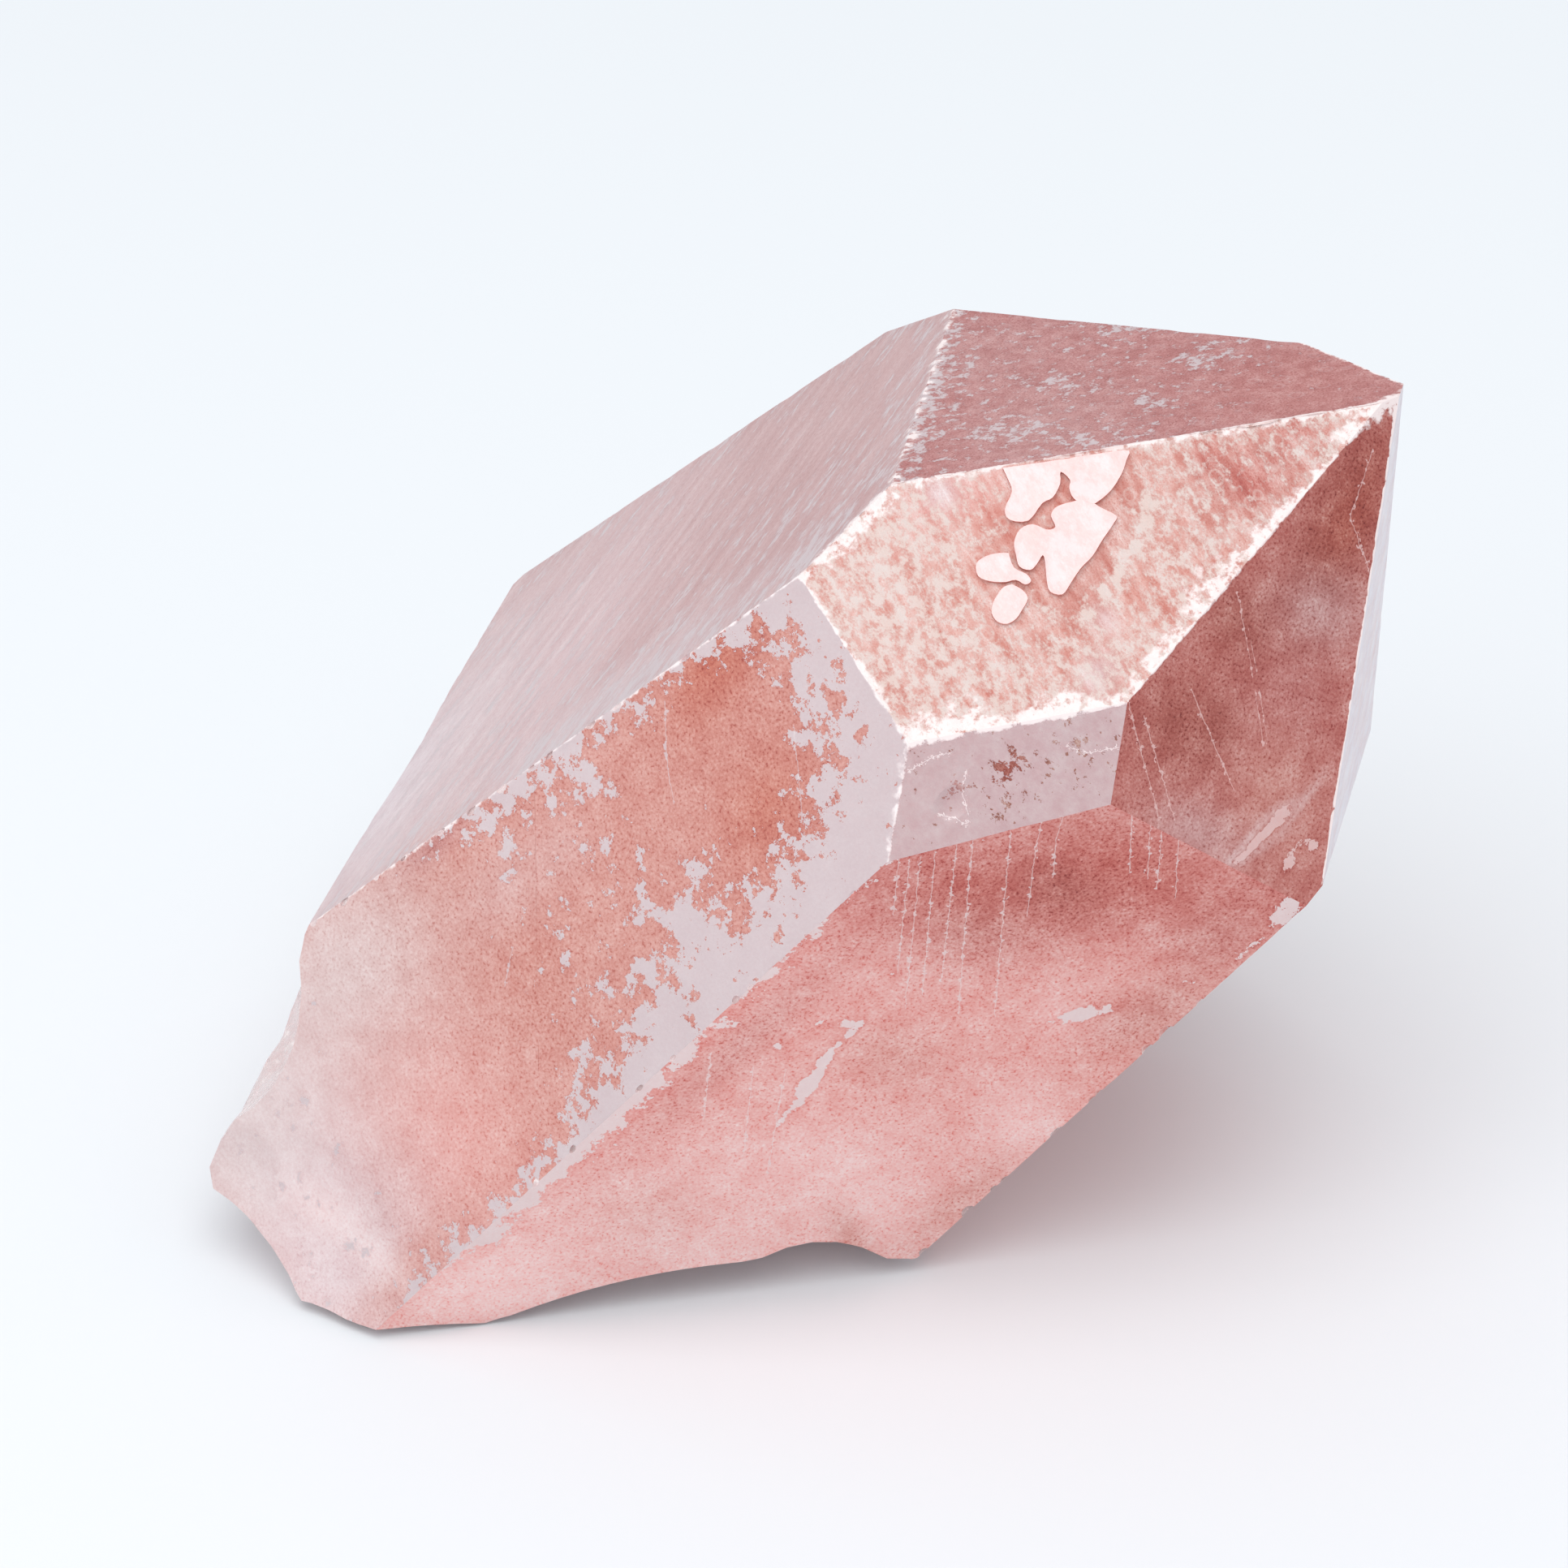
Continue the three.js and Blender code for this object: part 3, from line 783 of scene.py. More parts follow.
def halve_edges(points, triangles, kinds, facets):
    """Halves edges that are longer than wanted and cuts the triangles to match."""
    edges, which, low_kind, high_kind = edge_table(triangles, kinds)
    cells = wanted_cells(points, edges, low_kind, high_kind, facets)
    long = np.linalg.norm(points[edges[:, 0]] - points[edges[:, 1]], axis=1) > cells
    middle = np.full(len(edges), -1)
    middle[long] = len(points) + np.arange(long.sum())
    points = np.vstack([points, points[edges[long]].mean(axis=1)])
    cuts = middle[which]
    count = (cuts >= 0).sum(axis=1)
    # turn each triangle so that a lone cut is on its first side and a lone whole side is its last
    first = np.where(count == 2, (cuts.argmin(axis=1) + 1) % 3, 0)
    first = np.where(count == 1, cuts.argmax(axis=1), first)
    order = (first[:, None] + np.arange(3)) % 3
    a, b, c = np.take_along_axis(triangles, order, axis=1).T
    ab, bc, ca = np.take_along_axis(cuts, order, axis=1).T
    to_a = np.linalg.norm(points[a] - points[bc], axis=1)
    to_c = np.linalg.norm(points[ab] - points[c], axis=1)
    near_a = to_a < to_c
    pieces = [
        (count == 0, [(a, b, c)]),
        (count == 1, [(a, ab, c), (ab, b, c)]),
        ((count == 2) & near_a, [(ab, b, bc), (a, ab, bc), (a, bc, c)]),
        ((count == 2) & ~near_a, [(ab, b, bc), (a, ab, c), (ab, bc, c)]),
        (count == 3, [(a, ab, ca), (ab, b, bc), (ca, bc, c), (ab, bc, ca)]),
    ]
    new_triangles, new_kinds = [], []
    for mask, tiles in pieces:
        for corners in tiles:
            new_triangles.append(np.stack(corners, axis=1)[mask])
            new_kinds.append(kinds[mask])
    return points, np.vstack(new_triangles), np.concatenate(new_kinds)


def adopt_chips(points, triangles, kinds, facets):
    """Counts chips above the broken end, and shallow flakes, as part of the nearest facet."""
    middle = points[triangles].mean(axis=1)
    facing = triangle_normals(points, triangles)
    facing /= np.linalg.norm(facing, axis=1)[:, None]
    names = list(facets)
    gaps = np.abs([facets[name].depth(middle) for name in names])
    leans = np.array([facing @ facets[name].normal for name in names])
    nearest = gaps.argmin(axis=0)
    number = np.array([NAMES.index(name) for name in names])[nearest]
    chip = (middle - HEART) @ facets["corner"].axis > CHIP_LINE
    lean = leans[nearest, np.arange(len(kinds))]
    flake = (gaps.min(axis=0) < FLAKE_DEPTH) & (lean > math.cos(FLAKE_LEAN))
    return np.where((kinds == 0) & (chip | flake), number, kinds)


def fine_solid(node):
    """Points in mm, triangles and the facet of each triangle, fine enough for the relief."""
    solid, facets = coarse_solid(node)
    layer = solid.faces.layers.int["facet"]
    points = np.array([vertex.co for vertex in solid.verts]) / MM
    triangles = np.array([[vertex.index for vertex in face.verts] for face in solid.faces])
    kinds = np.array([face[layer] for face in solid.faces])
    solid.free()
    kinds = adopt_chips(points, triangles, kinds, facets)
    for _ in range(FINE_HALVINGS):
        points, triangles, kinds = halve_edges(points, triangles, kinds, facets)
    return points, triangles, kinds, facets


# --------------------------------------------------------- fields on a facet


def blob(u, v, spot):
    """1 at the middle of a turned oval and falling away smoothly beyond its reach."""
    middle_u, middle_v, reach_u, reach_v, turn = spot
    cosine, sine = math.cos(math.radians(turn)), math.sin(math.radians(turn))
    along = ((u - middle_u) * cosine + (v - middle_v) * sine) / reach_u
    across = ((v - middle_v) * cosine - (u - middle_u) * sine) / reach_v
    return np.exp(-(along**2 + across**2))


def segments(line):
    return [(np.array(a, float), np.array(b, float)) for a, b in zip(line, line[1:])]


def part_gap(start, end, u, v, low=0, high=1):
    """Distance from points to a straight part of a line, from a low to a high share of its run."""
    run = end - start
    share = np.clip(((u - start[0]) * run[0] + (v - start[1]) * run[1]) / run.dot(run), low, high)
    return np.hypot(u - start[0] - share * run[0], v - start[1] - share * run[1])


def line_gap(line, u, v):
    """Distance from points to a line of straight parts."""
    return np.min([part_gap(start, end, u, v) for start, end in segments(line)], axis=0)


def line_side(line, u, v):
    """Signed distance from points to a line that runs on straight beyond its ends."""
    parts = segments(line)
    side, nearest = np.zeros(len(u)), np.full(len(u), np.inf)
    for number, (start, end) in enumerate(parts):
        low = -np.inf if number == 0 else 0
        high = np.inf if number == len(parts) - 1 else 1
        gap = part_gap(start, end, u, v, low, high)
        run = end - start
        across = (run[0] * (v - start[1]) - run[1] * (u - start[0])) / math.hypot(*run)
        side = np.where(gap < nearest, np.sign(across) * gap, side)
        nearest = np.minimum(nearest, gap)
    return side


def line_phase(lines, u, v):
    """A field that is a whole number and a half on each line in turn, and 1 where a line is near."""
    phase, reach = np.zeros(len(u)), np.zeros(len(u))
    for line in lines:
        phase += np.clip(line_side(line, u, v) / (2 * LINE_REACH), -0.5, 0.5) + 0.5
        near = 1 - smooth(0.6 * LINE_REACH, 1.2 * LINE_REACH, line_gap(line, u, v))
        reach = np.maximum(reach, near)
    return phase, reach


def border_depth(border, u, v):
    """How far points lie inside a closed border; negative outside."""
    closed = [*border, border[0]]
    inside = np.zeros(len(u), bool)
    for start, end in segments(closed):
        crosses = (start[1] > v) != (end[1] > v)
        rise = end[1] - start[1] or 1e-9
        inside ^= crosses & (u < start[0] + (v - start[1]) / rise * (end[0] - start[0]))
    gap = line_gap(closed, u, v)
    return np.where(inside, gap, -gap)


def drawn_out(look, u, v):
    """Coordinates in which the marks of a facet are round and of one size."""
    turn = math.radians(look["turn"])
    along = u * math.cos(turn) + v * math.sin(turn)
    across = v * math.cos(turn) - u * math.sin(turn)
    return along / look["grain"] / look["size"], across / look["size"]


def film_cover(name, look, u, v):
    """How far points lie inside the iron film of a facet, in mm."""
    cover = np.full(len(u), float(look["cover"]))
    if name in BORDERS:
        cover = np.clip(border_depth(BORDERS[name], u, v), -DEEP, DEEP)
    for *spot, change in BARE_SPOTS.get(name, []):
        cover += change * blob(u, v, spot)
    return cover


def plate_gap(points, outline):
    """Distance in mm from points to the side of the nearest growth plate."""
    tree = kdtree.KDTree(len(outline))
    for number, point in enumerate(outline):
        tree.insert(point, number)
    tree.balance()
    return np.array([tree.find(point)[2] for point in points])


def film_tone(name, look, u, v):
    """Linear colour of the film of a facet at points."""
    tone = np.tile(linear(TONES[look["film"]])[:3], (len(u), 1))
    for *spot, colour, strength in CLOUDS.get(name, []):
        weight = (strength * blob(u, v, spot))[:, None]
        tone = tone * (1 - weight) + np.array(linear(TONES[colour])[:3]) * weight
    return tone


def rim_white_and_highlight(name, facets, points):
    """How white the edges of a facet are at points, from bruising and from painted edge highlights:
    most at an edge, and less by an even ramp.
    """
    white = np.full(len(points), -1.0)
    for other, width, strength in RIMS_AND_EDGE_HIGHLIGHTS.get(name, []):
        gap = facets[name].gap(facets[other], points)
        reach = 2 * width * (1 + 0.8 * lattice_noise(points, cell=2.5, seed=61))
        white = np.maximum(white, np.maximum(strength * (1 - gap / reach), -1.0))
    return white


# Fields that are stored on the mesh for the material, with the channels of each.
FIELDS = {
    "film": ("cover", "ragged", "phase", "near_line"),
    "film_tone": ("red", "green", "blue", "clear"),
    "bare_tone": ("red", "green", "blue", "white"),
    "skin": ("streak", "speck", "etch", "rough"),
    "marks": ("soft", "pits", "line", "silk"),
}
# Patterns of one facet and the next are this far apart in mm, so none repeats.
PATTERN_STEP = 37.0


def place_patterns(name, look, facets, spots):
    """Where points lie on a facet or the broken end, and in its patterns, and how white they are."""
    facet = facets.get("rhomb_front" if name.startswith("plate") else name)
    if facet is None:
        return spots[:, 0], spots[:, 1], spots, np.full(len(spots), BREAK_WHITE)
    u, v = facet.place(spots)
    apart = np.full(len(u), PATTERN_STEP * NAMES.index(name))
    grain = np.stack([*drawn_out(look, u, v), apart], axis=1)
    return u, v, grain, rim_white_and_highlight(name, facets, spots)


def facet_fields(name, facets, spots, plate_sides):
    """The fields of one facet at points on it, and their place in its patterns."""
    look = LOOKS[name]
    u, v, grain, white = place_patterns(name, look, facets, spots)
    phase, near_line = line_phase(LINES.get(name, []), u, v)
    cover = film_cover(name, look, u, v)
    if name in OUTLINE:
        rise, width = OUTLINE[name]
        cover += rise * np.exp(-((plate_gap(spots, plate_sides) / width) ** 2))
    same = np.ones(len(u))
    bare = np.outer(same, linear(TONES[look["bare"]])[:3])
    skin = np.outer(same, [look[key] for key in FIELDS["skin"]])
    if name in CALM:
        skin[:, FIELDS["skin"].index("speck")] *= 1 - blob(u, v, CALM[name])
    return {
        "film": np.stack([cover, same * look["ragged"], phase, near_line], axis=1),
        "film_tone": np.column_stack([film_tone(name, look, u, v), same * look["clear"]]),
        "bare_tone": np.column_stack([bare, white]),
        "skin": skin,
        "marks": np.outer(same, [look[key] for key in FIELDS["marks"]]),
    }, grain


def paint(mesh, points, triangles, kinds, facets):
    """Stores the fields that the material reads, at each corner of each triangle."""
    points = points[triangles.ravel()]
    kind = np.repeat(kinds, 3)
    plate_sides = np.unique(points[kind == NAMES.index("plate_side")], axis=0)
    fields = {name: np.zeros((len(points), 4)) for name in FIELDS}
    grain = np.zeros((len(points), 3))
    for number, name in enumerate(NAMES):
        here = kind == number
        found, grain[here] = facet_fields(name, facets, points[here], plate_sides)
        for field, values in found.items():
            fields[field][here] = values
    for name, values in fields.items():
        attribute = mesh.attributes.new(name, "FLOAT_COLOR", "CORNER")
        attribute.data.foreach_set("color", values.ravel())
    mesh.attributes.new("grain", "FLOAT_VECTOR", "CORNER").data.foreach_set("vector", grain.ravel())


# ---------------------------------------------------------------- the relief

# How deep the skin dips on each facet and on any other, and its worn edges, in mm.
RELIEF = {"rhomb_front": 0.12, "break": 0.16, "plate": 0.04, "rhomb_top": 0.05}
PLAIN_RELIEF = 0.03
EDGE_WEAR = 0.05


def relief_depth(name, facet, points):
    """How far the skin dips below its flat at points, in mm."""
    strength = RELIEF.get(name, PLAIN_RELIEF)
    if name == "rhomb_front":
        u, v = facet.place(points)
        drawn = np.stack([u / 3, v, 0 * u], axis=1)
        steps = np.floor(2.5 + 2 * fractal(drawn, cell=3.0, octaves=3, seed=11)) / 5
        pits = 0.3 * fractal(drawn, cell=0.7, octaves=2, seed=5)
        return strength * np.clip(steps + pits, 0, 1.5)
    if name == "break":
        return strength * np.clip(0.5 + fractal(points, cell=2.4, octaves=3, seed=21), 0, 2)
    return strength * np.clip(0.5 + 0.5 * fractal(points, cell=7.0, octaves=3, seed=31), 0, 1)


def roughen(points, triangles, kinds, facets):
    """Points with the skin dipped between its edges and the edges themselves worn."""
    low_kind, high_kind = kinds_beside(len(points), triangles, kinds)
    normals = np.zeros(points.shape)
    facing = triangle_normals(points, triangles)
    np.add.at(normals, triangles.ravel(), np.repeat(facing, 3, axis=0))
    normals /= np.linalg.norm(normals, axis=1)[:, None]
    depth = EDGE_WEAR * smooth(0.0, 1.2, fractal(points, cell=1.8, octaves=2, seed=41))
    for number, name in enumerate(NAMES):
        inner = (low_kind == number) & (high_kind == number)
        depth[inner] = relief_depth(name, facets.get(name), points[inner])
    return points - normals * depth[:, None]


def make_crystal(node):
    """The quartz point as one closed mesh with a painted skin."""
    points, triangles, kinds, facets = fine_solid(node)
    mesh = bpy.data.meshes.new("quartz_point")
    mesh.from_pydata(roughen(points, triangles, kinds, facets) * MM, [], triangles)
    mesh.polygons.foreach_set("use_smooth", [True] * len(mesh.polygons))
    paint(mesh, points, triangles, kinds, facets)
    crease(mesh, kinds)
    mesh.materials.append(iron_stained_quartz())
    crystal = bpy.data.objects.new("quartz_point", mesh)
    bpy.context.collection.objects.link(crystal)
    return crystal


def crease(mesh, kinds):
    """Marks as sharp the edges between facets and the steep ones on the break."""
    solid = bmesh.new()
    solid.from_mesh(mesh)
    solid.normal_update()
    for edge in solid.edges:
        one, other = edge.link_faces
        alike = kinds[one.index] == kinds[other.index]
        edge.smooth = alike and edge.calc_face_angle() < CREASE_ANGLE
    solid.to_mesh(mesh)
    solid.free()


# -------------------------------------------------------------- the material

# Patterns in the skin: the size in mm of their largest marks, and how many finer
# ones lie on top and how strong those are. Dust and etching can be finer than
# this, and are drawn as coarse as they need to be to show.
PATTERNS = {
    "lobes": (1 / 0.8, 6, 0.74),
    "waver": (1 / 1.27, 3, 0.7),
    "buds": (1 / 2.63, 2, 0.6),
    "streaks": (1 / 0.6, 4, 0.6),
    "dust": (1 / 5.3, 2, 0.7),
    "bruises": (1 / 1.3, 5, 0.7),
    "etching": (1 / 3.1, 3, 0.7),
}

# How far the film's border wanders and its streaks thicken it, for each unit of
# ragged and streak, and how far in, in mm, film is heaped along its border.
WANDER = 7.0
THICKENING = 6.0
HEAP_WIDTH = 1.0
HEAP = 0.35

# Thin lines: how much a bud widens them and how soft their edges are, in mm.
BUD_WIDTH = 0.25
LINE_EDGE = (-0.01, 0.02)

# Ringed pits: how far apart, in mm, and in shares of that, the radius of the
# smallest ring, how much larger the largest is, and how far off a ring starts to
# show and is whole.
RING_PITCH = 2.0
RING_RADIUS = 0.12
RING_SPREAD = 0.3
RING_EDGE = (0.09, 0.02)

# How high the etching stands, in mm.
ETCH_HEIGHT = 0.12

# The clear crystal: how it bends light, its colour in depth and how fast, per
# metre, light takes that colour.
QUARTZ_IOR = 1.544
DEPTH_TINT = "#f6d5cd"
DEPTH_DENSITY = 14.0

MATH = "ShaderNodeMath"
RAMP = "ShaderNodeMapRange"
MIX = "ShaderNodeMix"


def add_node(tree, kind, inputs=(), output=0, **settings):
    """Adds a node with its settings, values and links, and returns one of its outputs.

    Inputs are given in the order of the node's sockets, or by a socket's name or number."""
    node = tree.nodes.new(kind)
    for name, value in settings.items():
        setattr(node, name, value)
    sockets = inputs if isinstance(inputs, dict) else dict(enumerate(inputs))
    for socket, value in sockets.items():
        if isinstance(value, bpy.types.NodeSocket):
            tree.links.new(value, node.inputs[socket])
        else:
            node.inputs[socket].default_value = value
    return node.outputs[output] if node.outputs else node


def lay_patterns(add, grain, silk):
    """Every pattern in the skin, above and below 0, by its name."""
    drawn_way = add("ShaderNodeCombineXYZ", (silk, 1.0, 1.0))
    drawn = add("ShaderNodeVectorMath", (grain, drawn_way), operation="MULTIPLY")
    place = add("ShaderNodeTexCoord", output="Object")
    place = add("ShaderNodeVectorMath", (place, (1 / MM, 1 / MM, 1 / MM)), operation="MULTIPLY")
    ways = {"streaks": drawn, "bruises": place}
    patterns = {}
    for name, (size, detail, roughness) in PATTERNS.items():
        way = ways.get(name, grain)
        marks = {"Vector": way, "Scale": 1 / size, "Detail": detail, "Roughness": roughness}
        noise = add("ShaderNodeTexNoise", marks)
        patterns[name] = add(MATH, (noise, 0.5), operation="SUBTRACT")
    return patterns


def read_skin(add):
    """Every stored field, each of its channels and every pattern, by its name."""
    skin = {}
    for field, channels in FIELDS.items():
        colour = add("ShaderNodeAttribute", attribute_name=field)
        parts = add("ShaderNodeSeparateColor", (colour,)).node
        skin.update(zip(channels, (*parts.outputs, colour.node.outputs["Alpha"])))
        skin[field] = colour
    grain = add("ShaderNodeAttribute", output="Vector", attribute_name="grain")
    return SimpleNamespace(**skin, grain=grain, **lay_patterns(add, grain, skin["silk"]))


def wandering_border(add, skin):
    """Depth inside the film's border, which wanders between dendrites, and how whole the film is."""
    reach = add(MATH, (skin.ragged, WANDER), operation="MULTIPLY")
    wander = add(MATH, (skin.lobes, reach), operation="MULTIPLY")
    border = add(MATH, (skin.cover, wander), operation="ADD")
    outside = add(MATH, (skin.soft, -1.0), operation="MULTIPLY")
    return border, add(RAMP, {"Value": border, "From Min": outside, "From Max": skin.soft})


def budding_lines(add, skin):
    """Thin lines where the film is missing, which waver and swell into buds."""
    waver = add(MATH, (skin.waver, 0.6), operation="MULTIPLY")
    turn = add(MATH, (skin.phase, waver), operation="ADD")
    turn = add(MATH, (turn,), operation="FRACT")
    gap = add(MATH, (turn, 0.5), operation="SUBTRACT")
    gap = add(MATH, (gap,), operation="ABSOLUTE")
    gap = add(MATH, (gap, 2 * LINE_REACH), operation="MULTIPLY")
    buds = add(RAMP, {"Value": skin.buds, "From Min": 0.05, "From Max": 0.22})
    swell = add(MATH, (buds, BUD_WIDTH), operation="MULTIPLY")
    width = add(MATH, (skin.line, swell), operation="ADD")
    inside = add(MATH, (width, gap), operation="SUBTRACT")
    line = add(RAMP, {"Value": inside, "From Min": LINE_EDGE[0], "From Max": LINE_EDGE[1]})
    near = add(RAMP, {"Value": skin.near_line, "From Min": 0.3, "From Max": 0.6})
    return add(MATH, (line, near), operation="MULTIPLY")


def ringed_pits(add, skin):
    """Rings round small pits."""
    rings = add("ShaderNodeTexVoronoi", {"Vector": skin.grain, "Scale": 1 / RING_PITCH})
    chance = add("ShaderNodeSeparateColor", (rings.node.outputs["Color"],))
    radius = add(MATH, (chance, RING_SPREAD), operation="MULTIPLY")
    radius = add(MATH, (radius, RING_RADIUS), operation="ADD")
    gap = add(MATH, (rings, radius), operation="SUBTRACT")
    gap = add(MATH, (gap,), operation="ABSOLUTE")
    ring = add(RAMP, {"Value": gap, "From Min": RING_EDGE[0], "From Max": RING_EDGE[1]})
    drawn = add(RAMP, {"Value": chance, "From Min": 0.5, "From Max": 0.6})
    drawn = add(MATH, (skin.pits, drawn), operation="MULTIPLY")
    return add(MATH, (ring, drawn), operation="MULTIPLY")


def broken_film(add, film, line, ring):
    """The film with thin lines and rings worn through it."""
    worn = add(MATH, (line, 0.75), operation="MULTIPLY")
    whole = add(MATH, (1.0, worn), operation="SUBTRACT")
    film = add(MATH, (film, whole), operation="MULTIPLY")
    ring = add(MATH, (ring, 0.6), operation="MULTIPLY")
    film = add(MATH, (film, ring), operation="SUBTRACT")
    return add(MATH, (film, 0.0), operation="MAXIMUM")


def film_thickness(add, skin):
    """How much thicker or thinner than usual the film is, in clouds and streaks."""
    strength = add(MATH, (skin.streak, THICKENING), operation="MULTIPLY")
    return add(MATH, (skin.streaks, strength), operation="MULTIPLY")


def rusty_dust(add, skin):
    """What fine dust and the dark grains in it add to the film."""
    grains = add(RAMP, {"Value": skin.dust, "From Min": 0.1, "From Max": 0.18})
    many = add(MATH, (skin.speck, 1.1), operation="MULTIPLY")
    grains = add(MATH, (grains, many), operation="MULTIPLY")
    strength = add(MATH, (skin.speck, 0.8), operation="ADD")
    dusting = add(MATH, (skin.dust, strength), operation="MULTIPLY")
    return add(MATH, (dusting, grains), operation="ADD")


def stained_colour(add, skin, border, film):
    """Colour of the film, deeper where it is thicker, over that of the bare quartz."""
    thick = film_thickness(add, skin)
    dusting = rusty_dust(add, skin)
    heap = add(MATH, (border,), operation="ABSOLUTE")
    heap = add(RAMP, {"Value": heap, "From Min": HEAP_WIDTH, "From Max": 0.0})
    depth = add(MATH, (heap, HEAP, 1.0), operation="MULTIPLY_ADD")
    depth = add(MATH, (depth, thick), operation="ADD")
    depth = add(MATH, (depth, dusting), operation="ADD")
    depth = add(MATH, (depth, 0.15), operation="MAXIMUM")
    stained = add("ShaderNodeGamma", (skin.film_tone, depth))
    haze = add(MATH, (thick, 0.5, 1.0), operation="MULTIPLY_ADD")
    haze = add(MATH, (skin.dust, 0.5, haze), operation="MULTIPLY_ADD")
    bare = add("ShaderNodeGamma", (skin.bare_tone, haze))
    return add(MIX, {0: film, 6: bare, 7: stained}, output=2, data_type="RGBA")


def bruised_white_and_edge_highlight(add, skin):
    """Patchy white along bruised and etched edges, and painted highlights along narrow edges."""
    patches = add(MATH, (skin.bruises, 5.0, 1.0), operation="MULTIPLY_ADD")
    white = add(MATH, (skin.white, 0.0), operation="MAXIMUM")
    white = add(MATH, (white, patches), operation="MULTIPLY")
    white = add(RAMP, {"Value": white, "From Min": 0.26, "From Max": 0.5})
    return add(MATH, (white, 0.88), operation="MULTIPLY")


def etched_bump(add, skin):
    """Normals of a skin that is finely etched."""
    height = add(MATH, (skin.etching, skin.etch), operation="MULTIPLY")
    return add("ShaderNodeBump", {"Height": height, "Strength": 0.5, "Distance": ETCH_HEIGHT * MM})


def iron_stained_quartz():
    """Rock crystal with a thin film of iron stain, grown and etched.

    The film gives the eye warm, cloudy colour that breaks up into dendrites and
    dark grains. Where it is missing the quartz shows pale and clear, and on the
    bright facet that pale cream is partly a painted highlight. Its bruised edges
    are a matt white, and some narrow edges carry painted white highlights."""
    material = bpy.data.materials.new("iron-stained quartz, grown and etched")
    material.use_nodes = True
    tree = material.node_tree
    tree.nodes.clear()
    add = functools.partial(add_node, tree)
    skin = read_skin(add)
    border, film = wandering_border(add, skin)
    line = budding_lines(add, skin)
    bareness = add(MATH, (0.65, film), operation="SUBTRACT")
    scratch = add(MATH, (line, bareness), operation="MULTIPLY")
    film = broken_film(add, film, line, ringed_pits(add, skin))
    colour = stained_colour(add, skin, border, film)
    # frost is the white of bruised edges and scratches, with the painted edge highlights
    frost = add(MATH, (bruised_white_and_edge_highlight(add, skin), scratch), operation="MAXIMUM")
    chalk = linear(TONES["chalk"])
    colour = add(MIX, {0: frost, 6: colour, 7: chalk}, output=2, data_type="RGBA")

    # film holds back some of the light that would pass, and frost nearly all of it
    veil = add(MATH, (film, 0.45), operation="MULTIPLY")
    veil = add(MATH, (frost, veil), operation="MAXIMUM")
    open_skin = add(MATH, (1.0, veil), operation="SUBTRACT")
    surface = add(
        "ShaderNodeBsdfPrincipled",
        {
            "Base Color": colour,
            "Roughness": add(MATH, (frost, 0.2, skin.rough), operation="MULTIPLY_ADD"),
            "IOR": QUARTZ_IOR,
            "Transmission Weight": add(MATH, (skin.clear, open_skin), operation="MULTIPLY"),
            "Normal": etched_bump(add, skin),
        },
    )
    depth = {"Color": linear(DEPTH_TINT), "Density": DEPTH_DENSITY}
    tint = add("ShaderNodeVolumeAbsorption", depth)
    add("ShaderNodeOutputMaterial", {"Surface": surface, "Volume": tint})
    return material


# ----------------------------------------------------------------- the stage

# The camera: its lens, the width of its sensor and its place, in mm, and how far
# it looks down and its roll, in degrees.
LENS = 149.68
SENSOR_WIDTH = 36
CAMERA_PLACE = (-0.49, -350.24, 217.77)
CAMERA_DIP = 29.2
CAMERA_ROLL = -0.4

# Softboxes: the direction to each, its distance and size in metres, its power in
# watts and the point that it shines on. SURROUNDINGS is how bright the rest is.
SOFTBOXES = {
    "overhead softbox": ((-0.034, -0.399, 0.919), 0.9, 0.8, 4.6, (0.012, -0.02, 0.045)),
    "left softbox": ((-0.89, -0.424, 0.30), 0.8, 0.4, 0.7, (0, 0, 0.03)),
}
SURROUNDINGS = 0.82
FLOOR_SIZE = 8


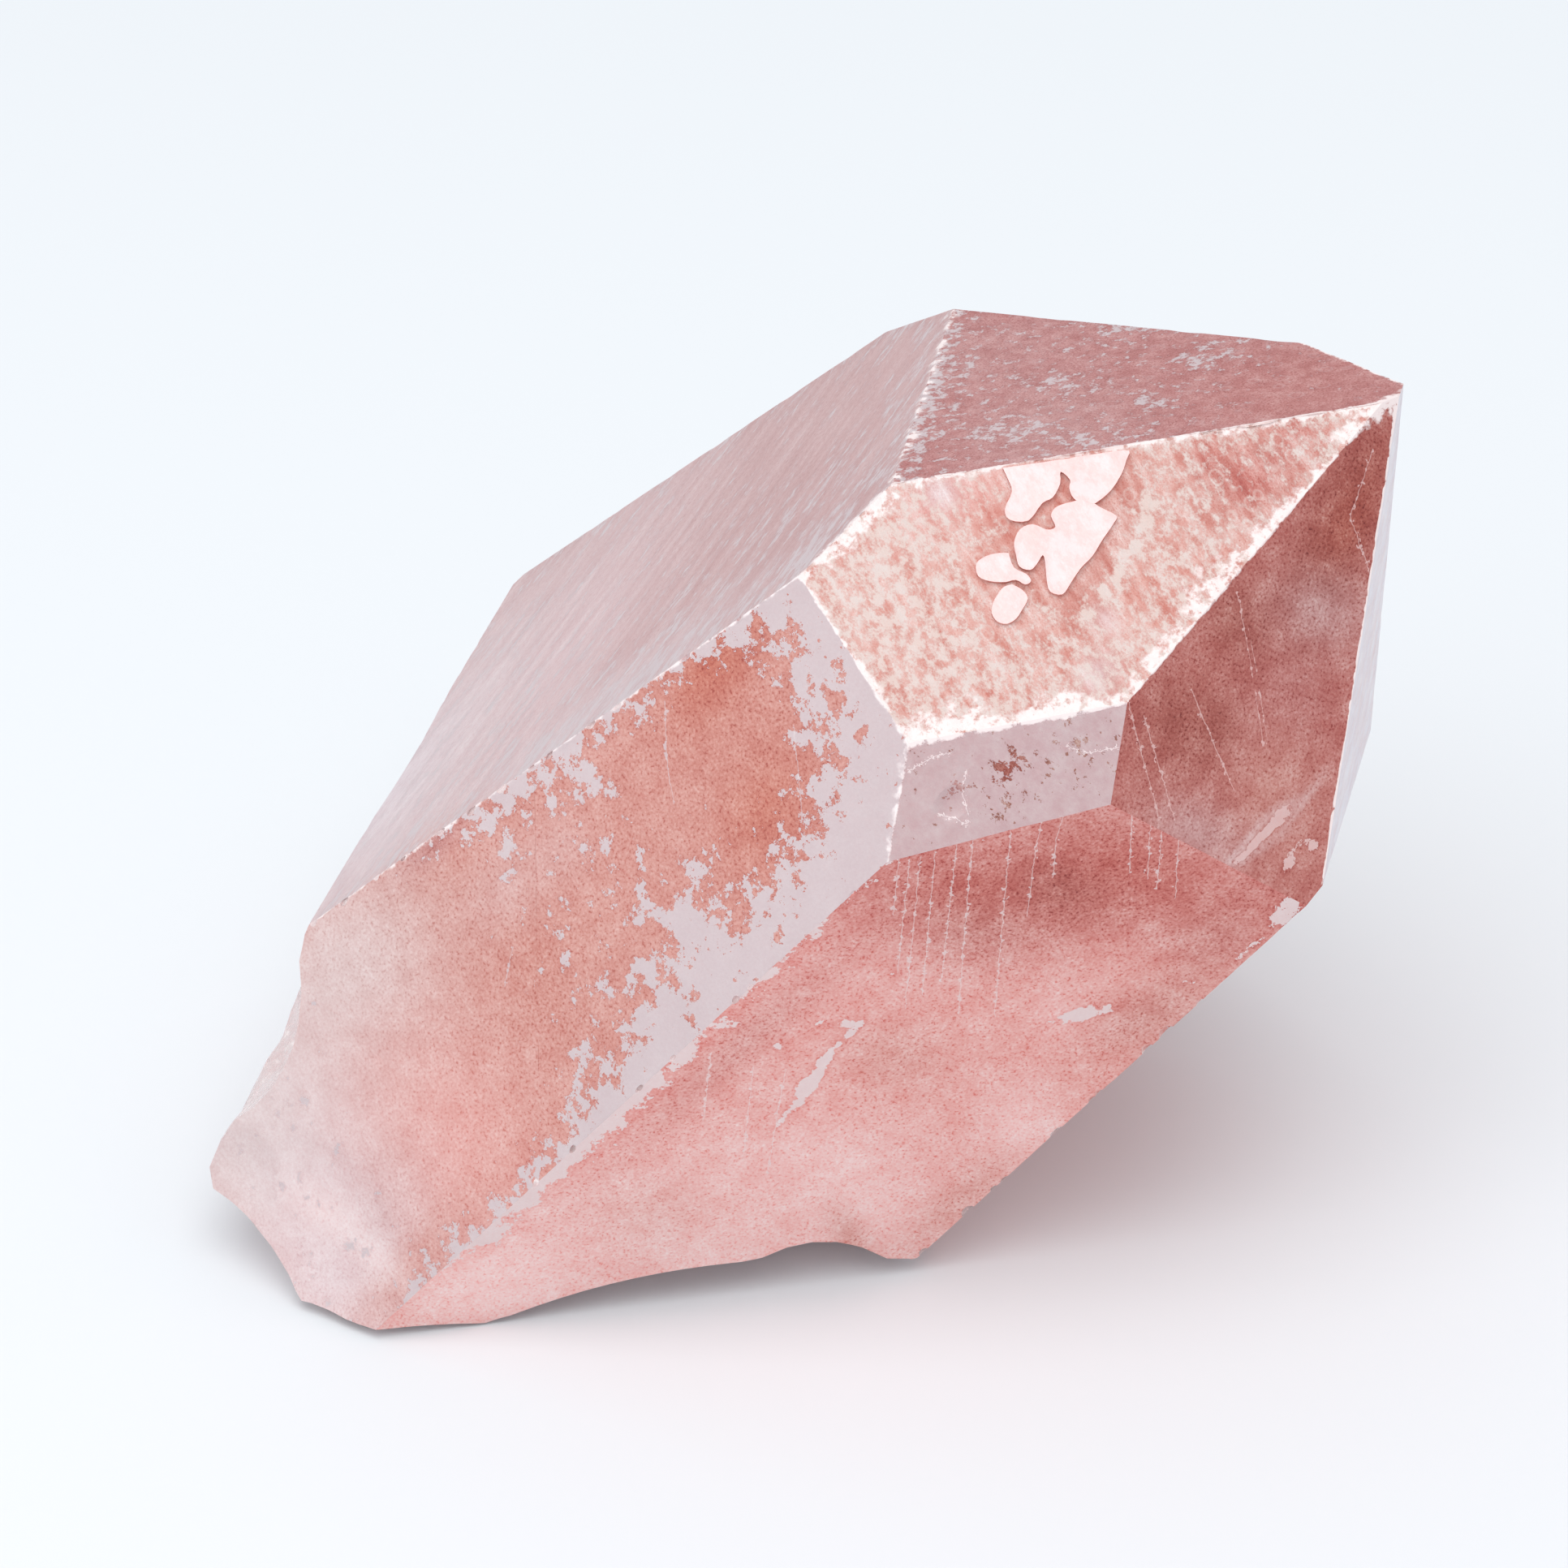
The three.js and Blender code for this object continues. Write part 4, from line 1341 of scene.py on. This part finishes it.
def plain_material(name, code, roughness):
    """A matt material of one colour."""
    material = bpy.data.materials.new(name)
    material.use_nodes = True
    shader = material.node_tree.nodes["Principled BSDF"]
    shader.inputs["Base Color"].default_value = linear(code)
    shader.inputs["Roughness"].default_value = roughness
    shader.inputs["Specular IOR Level"].default_value = 0.0
    return material


def make_floor():
    """A pale matt floor, which takes soft shadows and throws back no gloss."""
    bpy.ops.mesh.primitive_plane_add(size=FLOOR_SIZE)
    floor = bpy.context.object
    floor.name = "floor"
    floor.data.materials.append(plain_material("white studio floor, matt", "#e7eaed", 0.9))


def add_softbox(name, direction, distance, size, power, aim):
    """A square area light that shines on a point from a direction."""
    light = bpy.data.lights.new(name, "AREA")
    light.energy = power
    light.size = size
    lamp = bpy.data.objects.new(name, light)
    bpy.context.collection.objects.link(lamp)
    way = Vector(direction).normalized()
    lamp.location = Vector(aim) + way * distance
    lamp.rotation_euler = way.to_track_quat("Z", "Y").to_euler()


def light_stage():
    """Even white surroundings, with a softbox overhead and one to the left."""
    world = bpy.data.worlds.new("white surroundings")
    bpy.context.scene.world = world
    world.use_nodes = True
    backdrop = world.node_tree.nodes["Background"]
    backdrop.inputs["Color"].default_value = linear("#f6f9fc")
    backdrop.inputs["Strength"].default_value = SURROUNDINGS
    for name, settings in SOFTBOXES.items():
        add_softbox(name, *settings)


def set_camera():
    """A long lens that looks down on the crystal from the front."""
    camera = bpy.data.cameras.new("camera")
    camera.lens = LENS
    camera.sensor_width = SENSOR_WIDTH
    viewer = bpy.data.objects.new("camera", camera)
    bpy.context.collection.objects.link(viewer)
    viewer.matrix_world = (
        Matrix.Translation(Vector(CAMERA_PLACE) * MM)
        @ Matrix.Rotation(math.radians(90 - CAMERA_DIP), 4, "X")
        @ Matrix.Rotation(math.radians(CAMERA_ROLL), 4, "Z")
    )
    bpy.context.scene.camera = viewer


for stray in list(bpy.data.objects):
    if stray.name in ("Cube", "Light", "Camera"):
        bpy.data.objects.remove(stray)

crystal = make_crystal(frame["nodes"]["crystal"])
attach(crystal, "root")
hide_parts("crystal")
make_floor()
light_stage()
set_camera()
bpy.context.scene.view_settings.view_transform = "Standard"
